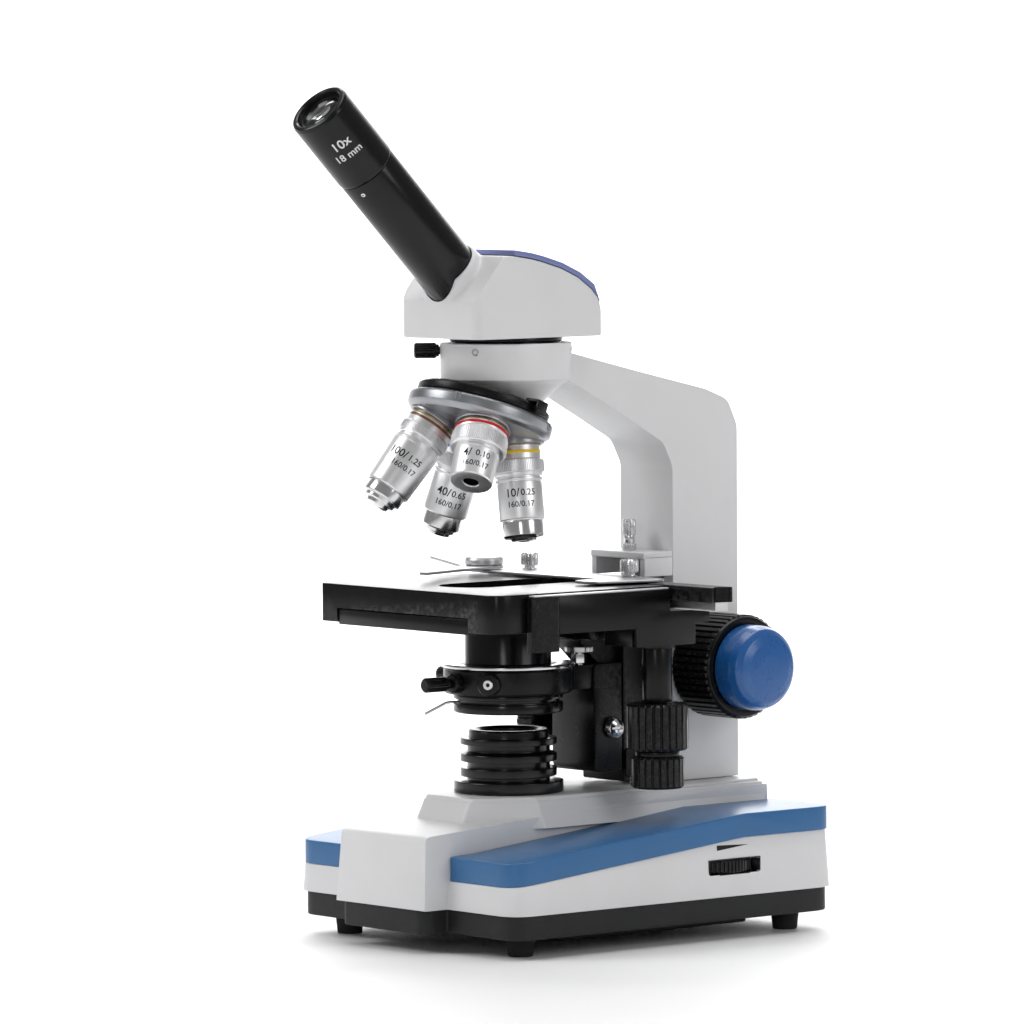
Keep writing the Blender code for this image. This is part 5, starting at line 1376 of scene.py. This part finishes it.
class MICROSCOPE_OT_carriage(bpy.types.Operator):
    """Build the focusing slide, its rack and the stop bracket"""

    bl_idname = "microscope.carriage"
    bl_label = "Carriage and stop"

    def execute(self, context):
        side = [(53.3, 64.3), (78.3, 64.3), (78.3, 145.9), (62.2, 145.9), (62.2, 134.4), (53.3, 134.4)]
        column = rounded(prism(softened(side, 1.0, 3), -14.0, 14.0, "yz"), 0.7, 3)
        tongue = block((-10.4, 77.0, 68.4), (10.4, 87.9, 144.0), 0.5, 2)
        shelf = block((-29.8, 22.7, 128.1), (29.8, 57.0, 134.4), 0.6, 2, 4.0)
        web = prism(softened([(30.0, 128.4), (56.0, 128.4), (56.0, 104.0)], 3.0, 5), -9.0, 9.0, "yz")
        ear = rounded(
            prism(
                softened([(53.4, 66.0), (78.0, 66.0), (78.0, 82.0), (62.0, 79.0), (53.4, 79.0)], 2.0, 4),
                12.0, 15.4, "yz"
            ),
            0.5, 2
        )
        piece(
            "focus_slide", together(column, tongue, shelf, web, ear), "black_paint", "stage_lift",
            stands_for=["focus_carriage"]
        )
        teeth = []
        for index in range(46):
            low = 77.5 + index * 1.35
            teeth += [(91.1, low), (90.2, low + 0.3), (90.2, low + 0.6), (91.1, low + 0.9)]
        rack = prism([(88.1, 76.4), (91.1, 76.4)] + teeth + [(91.1, 139.8), (88.1, 139.8)], -3.9, 3.9, "yz")
        piece("rack_bar", rack, "steel", "stage_lift", stands_for=["focus_rack"])
        for name, z in (("lower", 76.0), ("upper", 119.0)):
            at = AXIS @ Matrix.Translation((0.0140, 0.0700, z * MM)) @ toward((1, 0, 0))
            piece(f"slide_screw_{name}", socket_head(2.0, 0.5, 1.1), "steel", "stage_lift", at)
        top = block((-17.8, 61.8, 160.4), (17.8, 78.5, 163.4), 0.5, 3)
        leg = block((-17.8, 62.4, 152.8), (-14.6, 78.5, 161.5), 0.4, 2)
        other = block((14.6, 62.4, 152.8), (17.8, 78.5, 161.5), 0.4, 2)
        piece("stop_bridge", together(top, leg, other), "white_paint", "base", stands_for=["stop_bracket"])
        at = AXIS @ Matrix.Translation((0, 0.069, 0))
        shank = lathe([(0, 159.5), (1.9, 159.5), (1.9, 171.5), (0, 171.5)], 0.1, 32)
        collar = lathe([(0, 166.6), (2.4, 166.6), (2.4, 170.4), (0, 170.4)], 0.2, 32)
        head = grip(3.0, 26, 0.3, 170.0, 177.0, 0.5)
        piece(
            "stop_thumb_screw", together(shank, collar, head), "bright_chrome", "stop_screw", at,
            ["stop_screw"]
        )
        piece(
            "stop_nut", grip(3.1, 24, 0.25, 163.7, 166.4, 0.3), "bright_chrome", "base", at,
            ["stop_lock_nut"]
        )
        return {"FINISHED"}


# ---------------------------------------------------------------------------------------------------
# Mechanical stage


def oval(width, length, x, y, steps=24):
    """A slot's outline along Y."""
    run = (length - width) / 2
    points = []
    for end in (1, -1):
        for step in range(steps + 1):
            angle = math.pi * step / steps + (0 if end > 0 else math.pi)
            points.append((x + width / 2 * math.cos(angle), y + end * run + width / 2 * math.sin(angle)))
    return points


class MICROSCOPE_OT_stage_plates(bpy.types.Operator):
    """Build the lower and upper stage plates"""

    bl_idname = "microscope.stage_plates"
    bl_label = "Stage plates"

    def execute(self, context):
        lower = block((-50.0, -53.1, 134.9), (38.0, 59.8, 141.5), 0.5, 2)
        strip = block((37.0, 12.0, 135.6), (46.9, 59.8, 140.8), 0.3, 1)
        hole = lathe([(0, 150.0), (20.0, 150.0), (20.0, 120.0), (0, 120.0)], 0.0)
        piece(
            "lower_plate", carved(together(lower, strip), hole), "stage_black", "stage_lift",
            stands_for=["lower_stage"], angle=40.0
        )
        points = [(-62.0, -53.5, 2.5), (57.0, -53.5, 10.0), (57.0, 39.2, 0.6), (-62.0, 39.2, 2.5)]
        upper = rounded(prism(softened(points, 0.0, 12), 135.9, 152.3), 0.55, 3, 50.0)
        tunnel = block((-50.4, -90.0, 120.0), (38.4, 90.0, 142.0), 0.2, 1)
        way = block((37.0, -18.0, 120.0), (47.4, 90.0, 142.0), 0.1, 1)
        slot = prism(oval(30.0, 68.0, -2.0, 2.0), 130.0, 170.0)
        pocket = prism(oval(42.0, 84.0, 0.0, -2.0), 130.0, 149.0)
        well = shifted(lathe([(0, 148.0), (5.3, 148.0), (5.3, 120.0), (0, 120.0)], 0.0, 48), 51.5, 40.0)
        shape = carved(upper, tunnel, way, slot, pocket, well)
        piece("upper_plate", shape, "stage_black", "stage_y", stands_for=["upper_stage"], angle=40.0)
        return {"FINISHED"}


class MICROSCOPE_OT_stage_drive(bpy.types.Operator):
    """Build the stage drive housing and its two knobs"""

    bl_idname = "microscope.stage_drive"
    bl_label = "Stage drive"

    def execute(self, context):
        side = [(-23.0, 135.0), (21.0, 135.0), (21.0, 126.9), (53.0, 126.9), (53.0, 136.0), (61.0, 136.0)]
        side += [(61.0, 141.6), (38.8, 141.6), (38.8, 151.0), (-23.0, 151.0)]
        plate = prism(side, 57.4, 62.0, "yz")
        rounded(plate, 0.35, 2, 50.0)
        nose_block = prism(
            softened(
                [(57.3, -37.0, 0.4), (62.1, -37.0, 4.7), (62.1, -22.0, 2.5), (57.3, -22.0, 0.4)], 0.4, 8
            ),
            127.7, 151.1
        )
        column = shifted(
            lathe([(0, 127.0), (6.5, 127.0), (6.5, 102.4), (4.3, 102.4), (4.3, 103.0), (0, 103.0)], 0.3),
            51.5, 40.0
        )
        gear_box = block((39.2, 21.0, 126.9), (59.0, 53.0, 134.3), 0.4, 2)
        cap = shifted(
            lathe([(0, 128.0), (8.2, 128.0), (8.2, 125.6), (6.4, 125.2), (0, 125.2)], 0.3), 51.5, 40.0
        )
        shape = together(plate, nose_block, column, gear_box, cap)
        piece("drive_case", shape, "stage_black", "stage_y", stands_for=["stage_drive_housing"], angle=40.0)
        rail = block((57.3, -36.0, 151.0), (61.4, 38.6, 151.7), 0.2, 1)
        piece("drive_edge", rail, "satin_chrome", "stage_y")
        at = AXIS @ Matrix.Translation((0.0515, 0.0400, 0))
        ribs = sizes().stage_ribs
        big = grip(13.4, ribs, 0.9, 81.7, 101.6, 1.0, 0.66)
        sleeve = lathe(
            [(0, 101.0), (3.6, 101.0), (3.6, 136.2), (4.2, 136.2), (4.2, 141.0), (0, 141.0)], 0.1, 32
        )
        piece("fore_aft_knob", together(big, sleeve), "black_plastic", "y_knob", at, ["y_knob"])
        little = grip(11.5, ribs - 2, 0.8, 65.3, 79.0, 1.0, 0.66)
        neck = lathe([(0, 78.5), (9.6, 78.5), (9.8, 79.6), (9.8, 81.1), (0, 81.1)], 0.2, 64)
        foot = lathe([(0, 65.6), (8.0, 65.6), (8.4, 65.1), (0, 65.1)], 0.1, 64)
        rod = lathe([(0, 141.2), (2.7, 141.2), (2.7, 145.6), (0, 145.6)], 0.1, 24)
        piece(
            "left_right_knob", together(little, neck, foot, rod), "black_plastic", "x_knob", at, ["x_knob"]
        )
        return {"FINISHED"}


class MICROSCOPE_OT_slide_carrier(bpy.types.Operator):
    """Build the rail, the slide holder, its screws and its sprung finger"""

    bl_idname = "microscope.slide_carrier"
    bl_label = "Slide carrier"

    def execute(self, context):
        end = softened([(39.8, 146.2), (51.4, 146.2), (51.4, 152.7), (39.8, 152.7)], 0.6, 3)
        rail = prism(end, -61.9, 87.9, "yz")
        dent = moved(
            lathe([(0, -4.0), (5.0, -4.0), (5.0, 4.0), (0, 4.0)], 0.3, 48),
            Matrix.Translation((89.6, 51.6, 149.4)) @ toward((0, 0, 1))
        )
        rail = carved(rail, shifted(dent, 0, -6.0, 0))
        piece(
            "cross_rail", rounded(rail, 0.2, 1, 60.0), "stage_black", "stage_x", stands_for=["x_rail"],
            angle=40.0
        )
        teeth = [(15.0, 142.4)]
        for index in range(71):
            low = 15.0 + index
            teeth += [(low + 0.25, 142.4), (low + 0.4, 143.0), (low + 0.75, 143.0), (low + 0.9, 142.4)]
        teeth += [(86.0, 142.4), (86.0, 146.15), (15.0, 146.15)]
        piece("cross_rack", prism(teeth, 43.2, 50.2, "xz"), "satin_chrome", "stage_x")
        plan = [
            (-64.0, 29.0, 5.0), (-51.0, 28.2, 2.0), (-36.0, 29.0, 1.0), (25.5, 29.0, 1.0),
            (27.5, 14.6, 1.0), (34.5, 13.6, 3.0), (40.0, 16.5, 2.0)
        ]
        plan += [(48.0, 49.8, 4.0), (-48.0, 49.8, 4.0), (-64.0, 40.5, 5.0)]
        holder = rounded(prism(softened(plan, 1.0, 5), 153.1, 154.3), 0.25, 2, 50.0)
        piece("holder_plate", holder, "holder_silver", "stage_x", stands_for=["slide_holder"])
        for name, x in (("left", -41.0), ("right", 26.0)):
            at = AXIS @ Matrix.Translation((x * MM, 0.0466, 0))
            head = grip(4.0, 24, 0.4, 156.0, 161.8, 0.6)
            neck = lathe([(0, 154.6), (2.5, 154.6), (2.5, 156.4), (0, 156.4)], 0.2, 32)
            washer = lathe([(0, 154.5), (3.4, 154.5), (3.4, 155.0), (0, 155.0)], 0.1, 32)
            shank = lathe([(0, 148.7), (1.3, 148.7), (1.3, 155.0), (0, 155.0)], 0.1, 24)
            whole = together(head, neck, washer, shank)
            piece(
                f"holder_thumb_screw_{name}", whole, "bright_chrome", f"holder_screw_{name}", at,
                [f"holder_screw_{name}"]
            )
        at = AXIS @ Matrix.Translation((-0.057, 0.034, 0))
        blade = [
            (-38.0, 3.0, 1.2), (-37.5, -0.5, 1.2), (-6.0, -7.0, 4.0), (5.0, -30.0, 24.0),
            (24.0, -56.0, 1.0), (27.0, -54.5, 1.0), (13.0, -28.0, 24.0)
        ]
        blade += [(9.0, 0.0, 8.0), (6.0, 7.0, 5.0), (-6.0, 7.0, 5.0)]
        strip = prism(softened(blade, 1.0, 8), 154.7, 155.9)
        bmesh.ops.triangulate(strip, faces=[f for f in strip.faces if len(f.verts) > 4])
        for vert in strip.verts:
            tail = max(0.0, -vert.co.x - 12.0) / 26.0
            tip = max(0.0, -vert.co.y - 34.0) / 22.0
            vert.co.z += 2.6 * tail * tail + 0.8 * tip * tip
        rounded(strip, 0.3, 2, 60.0)
        cap = lathe(
            [(0, 160.2), (6.6, 160.2), (8.0, 159.6), (8.5, 158.4), (8.5, 156.6), (7.6, 155.8), (0, 155.8)],
            0.7, 64, False, 4
        )
        piece("finger_blade", together(strip, cap), "holder_silver", "slide_finger", at, ["slide_finger"])
        return {"FINISHED"}


# ---------------------------------------------------------------------------------------------------
# Condenser


class MICROSCOPE_OT_condenser(bpy.types.Operator):
    """Build the condenser, its carrier, its screws and its lever"""

    bl_idname = "microscope.condenser"
    bl_label = "Condenser"

    def execute(self, context):
        ring = lathe(
            [(21.6, 116.3), (27.2, 116.3), (27.8, 115.6), (27.8, 106.6), (27.0, 105.7), (21.6, 105.7)], 0.3,
            None, True
        )
        fork = block((-13.0, 26.0, 105.8), (13.0, 40.0, 116.2), 0.4, 2)
        side = [(36.2, 69.2, 4.0), (52.4, 69.2, 1.0), (52.4, 116.2, 1.0), (36.2, 116.2, 3.0)]
        slab = rounded(prism(softened(side, 3.0, 5), -14.1, 14.1, "yz"), 0.6, 2)
        boss = moved(
            lathe([(0, 0.0), (5.0, 0.0), (5.0, 29.6), (4.4, 30.4), (0, 30.4)], 0.3, 48),
            Matrix.Translation((0, 0, 111.0)) @ toward((0.56, -0.83, 0))
        )
        ears = []
        for direction in ((-1, 0, 0), (0, -1, 0)):
            ear = lathe([(0, 20.0), (4.2, 20.0), (4.2, 31.2), (3.6, 32.0), (0, 32.0)], 0.3, 48)
            ears.append(moved(ear, Matrix.Translation((0, 0, 111.0)) @ toward(direction)))
        piece(
            "condenser_ring", together(ring, fork, slab, *ears), "black_paint", "condenser",
            stands_for=["condenser_carrier"], angle=40.0
        )
        piece("condenser_boss", boss, "black_paint", "condenser")
        out = Vector((0.56, -0.83, 0)).normalized()
        at = AXIS @ Matrix.Translation(out * 0.0303 + Vector((0, 0, 0.111))) @ toward(out)
        piece("boss_screw", socket_head(2.1, 0.6, 1.0), "satin_chrome", "condenser", at)
        barrel_shape = [
            (12.2, 145.4), (17.9, 145.4), (18.6, 144.6), (18.6, 118.5), (21.2, 118.5), (21.2, 105.4),
            (23.6, 105.3), (23.6, 103.4)
        ]
        barrel_shape += [
            (22.0, 103.2), (22.0, 101.6), (23.6, 101.4), (23.6, 98.0), (23.0, 97.4), (15.0, 97.4),
            (15.0, 139.4), (12.2, 141.0)
        ]
        piece(
            "condenser_barrel", lathe(barrel_shape, 0.3, None, True), "black_anodised", "condenser",
            stands_for=["condenser_body"]
        )
        rim = [(19.0, 118.4), (28.2, 118.4), (28.7, 118.0), (28.7, 117.0), (28.2, 116.7), (19.0, 116.7)]
        piece("condenser_disc", lathe(rim, 0.2, None, True), "bright_chrome", "condenser")
        lens = [(0, 145.0), (4.0, 144.8), (8.0, 143.8), (11.8, 141.8), (11.8, 141.2), (0, 141.2)]
        piece("condenser_top_lens", lathe(lens, 0.5), "glass", "condenser", stands_for=["condenser_lens"])
        blades = []
        for index in range(10):
            blade = block((3.6, -7.0, 100.9), (15.0, 6.0, 101.05), 0.05, 1, 4.0)
            blades.append(moved(blade, Matrix.Rotation(math.tau * index / 10, 4, "Z")))
        piece("iris_blades", together(*blades), "steel", "condenser")
        for name, direction in (("left", (-1, 0, 0)), ("front", (0, -1, 0))):
            at = AXIS @ Matrix.Translation((0, 0, 0.111)) @ toward(direction)
            shank = lathe([(0, 21.6), (1.3, 21.6), (1.3, 37.0), (0, 37.0)], 0.1, 24)
            collar = lathe([(0, 32.4), (2.2, 32.4), (2.2, 35.0), (0, 35.0)], 0.2, 32)
            head = grip(3.2, 18, 0.35, 34.6, 46.4, 0.8)
            piece(
                f"centring_knob_{name}", together(shank, collar, head), "black_plastic",
                f"centring_screw_{name}", at, [f"centring_screw_{name}"]
            )
        angle = math.radians(236.0)
        line = [(19.6, 101.6), (25.0, 101.6), (27.0, 101.3), (29.0, 100.2), (36.0, 96.6)]
        bar = tube_along([(r * math.cos(angle), r * math.sin(angle), z) for r, z in line], 0.6)
        piece("iris_handle", bar, "bright_chrome", "iris_lever", stands_for=["iris_lever"])
        at = AXIS @ Matrix.Translation((0.0105, 0.0310, 0))
        disc = grip(6.2, 46, 0.3, 121.9, 124.2, 0.3)
        nut = lathe([(0, 117.2), (3.4, 117.2), (3.4, 121.0), (0, 121.0)], 0.3, 6)
        rod = lathe([(0, 108.0), (1.9, 108.0), (1.9, 122.0), (0, 122.0)], 0.2, 32)
        piece(
            "condenser_stop", together(disc, nut, rod), "bright_chrome", "condenser_stop_screw", at,
            ["condenser_stop_screw"]
        )
        at = AXIS @ Matrix.Translation((0, 0.0462, 0.0882)) @ toward((1, 0, 0))
        knob = grip(10.5, 22, 0.7, -38.4, -26.6, 0.9, 0.62)
        axle = lathe([(0, -27.0), (3.0, -27.0), (3.0, 14.9), (0, 14.9)], 0.2, 32)
        piece(
            "condenser_handle", together(knob, axle), "black_plastic", "condenser_knob", at,
            ["condenser_knob"]
        )
        head = lathe(
            [(0, 14.6), (4.7, 14.6), (4.75, 16.0), (4.0, 17.8), (2.0, 18.7), (0, 18.8)], 0.5, 48, False, 3
        )
        cross = [
            block((-0.55, -3.0, 17.2), (0.55, 3.0, 20.0), 0.05, 1),
            block((-3.0, -0.55, 17.2), (3.0, 0.55, 20.0), 0.05, 1)
        ]
        piece(
            "condenser_axle_screw", carved(head, *cross), "bright_chrome", "condenser_knob", at, angle=40.0
        )
        return {"FINISHED"}


# ---------------------------------------------------------------------------------------------------
# Floor, lights and camera


class MICROSCOPE_OT_studio(bpy.types.Operator):
    """Build the pale floor, the soft lights and the camera"""

    bl_idname = "microscope.studio"
    bl_label = "Studio"

    def execute(self, context):
        scene = context.scene
        tree, shader = new_material("studio_floor", (0.90, 0.90, 0.90), 0.55)
        tone = placed(
            tree, "tone_drift", colour=(0.90, 0.90, 0.90), shade=(0.885, 0.885, 0.885), scale=2.0,
            gloss_low=0.5, gloss_high=0.6
        )
        link(tree, tone.outputs["Colour"], shader.inputs["Base Color"])
        link(tree, tone.outputs["Roughness"], shader.inputs["Roughness"])
        across = Vector((0.638, 0.770, 0))
        away = Vector((-0.770, 0.638, 0))
        rings = []
        for depth, height in ((-4.6, 0), (3.6, 0), (4.1, 0.07), (4.45, 0.30), (4.6, 0.7), (4.6, 5.0)):
            rings.append([away * depth + across * width + Vector((0, 0, height)) for width in (-6.0, 6.0)])
        bm = bmesh.new()
        rows = [[bm.verts.new(point) for point in ring] for ring in rings]
        for near, far in zip(rows, rows[1:]):
            bm.faces.new((near[0], near[1], far[1], far[0]))
        mesh = bpy.data.meshes.new("studio_sweep")
        bm.to_mesh(mesh)
        bm.free()
        mesh.shade_smooth()
        mesh.materials.append(FINISHES["studio_floor"])
        floor = bpy.data.objects.new("studio_sweep", mesh)
        scene.collection.objects.link(floor)
        world = bpy.data.worlds.new("studio")
        scene.world = world
        world.use_nodes = True
        world.node_tree.nodes["Background"].inputs[0].default_value = (1.0, 1.0, 1.0, 1.0)
        world.node_tree.nodes["Background"].inputs[1].default_value = 0.26
        self.light("key", (-0.9, -1.5, 1.5), 1.0, 17.0)
        self.light("side", (1.9, 0.4, 0.9), 0.9, 7.5)
        self.light("top", (0.1, 0.1, 1.9), 1.3, 17.0)
        self.light("back", (-0.9, 1.3, 1.0), 1.2, 2.5)
        self.light("strip", (1.35, -1.75, 0.55), 0.35, 2.2, (0, 0.02, 0.15))
        self.light("wall", (-2.0, 1.66, 3.0), 2.6, 230.0, (-3.45, 2.86, 0.6))
        self.camera(scene)
        scene.view_settings.view_transform = "Standard"
        scene.view_settings.look = "None"
        return {"FINISHED"}

    def light(self, name, spot, width, power, target=(0, 0.02, 0.18)):
        lamp = bpy.data.lights.new(name, "AREA")
        lamp.shape = "SQUARE"
        lamp.size = width
        lamp.energy = power
        obj = bpy.data.objects.new(name, lamp)
        aim = Vector(target) - Vector(spot)
        obj.location = spot
        obj.rotation_euler = aim.to_track_quat("-Z", "Y").to_euler()
        bpy.context.scene.collection.objects.link(obj)

    def camera(self, scene):
        around, above, roll = math.radians(50.38), math.radians(3.4145), math.radians(-0.376)
        back = Vector(
            (math.sin(around) * math.cos(above), -math.cos(around) * math.cos(above), math.sin(above))
        )
        level = Vector((math.cos(around), math.sin(around), 0.0))
        upright = level.cross(-back)
        right = level * math.cos(roll) + upright * math.sin(roll)
        up = upright * math.cos(roll) - level * math.sin(roll)
        lens = bpy.data.cameras.new("studio_camera")
        lens.sensor_width = 36.0
        lens.lens = 258.9
        lens.clip_end = 30.0
        obj = bpy.data.objects.new("studio_camera", lens)
        scene.collection.objects.link(obj)
        place = Matrix((right, up, back)).transposed().to_4x4()
        place.translation = AXIS.translation + Vector((2.43096, -2.00971, 0.37123))
        obj.matrix_world = place
        scene.camera = obj


PIECES = (
    MICROSCOPE_OT_base,
    MICROSCOPE_OT_floor_plate,
    MICROSCOPE_OT_pads,
    MICROSCOPE_OT_lamp,
    MICROSCOPE_OT_dial,
    MICROSCOPE_OT_arm,
    MICROSCOPE_OT_turret,
    MICROSCOPE_OT_objectives,
    MICROSCOPE_OT_head,
    MICROSCOPE_OT_tube,
    MICROSCOPE_OT_focus,
    MICROSCOPE_OT_carriage,
    MICROSCOPE_OT_stage_plates,
    MICROSCOPE_OT_stage_drive,
    MICROSCOPE_OT_slide_carrier,
    MICROSCOPE_OT_condenser,
    MICROSCOPE_OT_studio,
)


class MICROSCOPE_PT_panel(bpy.types.Panel):
    """Lists the sizes, the colours and the pieces"""

    bl_label = "Microscope"
    bl_idname = "MICROSCOPE_PT_panel"
    bl_space_type = "VIEW_3D"
    bl_region_type = "UI"
    bl_category = "Microscope"

    def draw(self, context):
        for group in (context.scene.microscope_sizes, context.scene.microscope_colours):
            box = self.layout.box()
            for name in group.__annotations__:
                box.prop(group, name)
        for operator in PIECES:
            self.layout.operator(operator.bl_idname)


CLASSES = (MICROSCOPE_PG_sizes, MICROSCOPE_PG_colours, *PIECES, MICROSCOPE_PT_panel)


def register():
    for made in CLASSES:
        bpy.utils.register_class(made)
    bpy.types.Scene.microscope_sizes = PointerProperty(type=MICROSCOPE_PG_sizes)
    bpy.types.Scene.microscope_colours = PointerProperty(type=MICROSCOPE_PG_colours)


def unregister():
    del bpy.types.Scene.microscope_sizes
    del bpy.types.Scene.microscope_colours
    for made in reversed(CLASSES):
        bpy.utils.unregister_class(made)


def main():
    """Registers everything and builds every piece."""
    register()
    build_finishes()
    for operator in PIECES:
        group, name = operator.bl_idname.split(".")
        getattr(getattr(bpy.ops, group), name)()


if __name__ == "__main__":
    main()
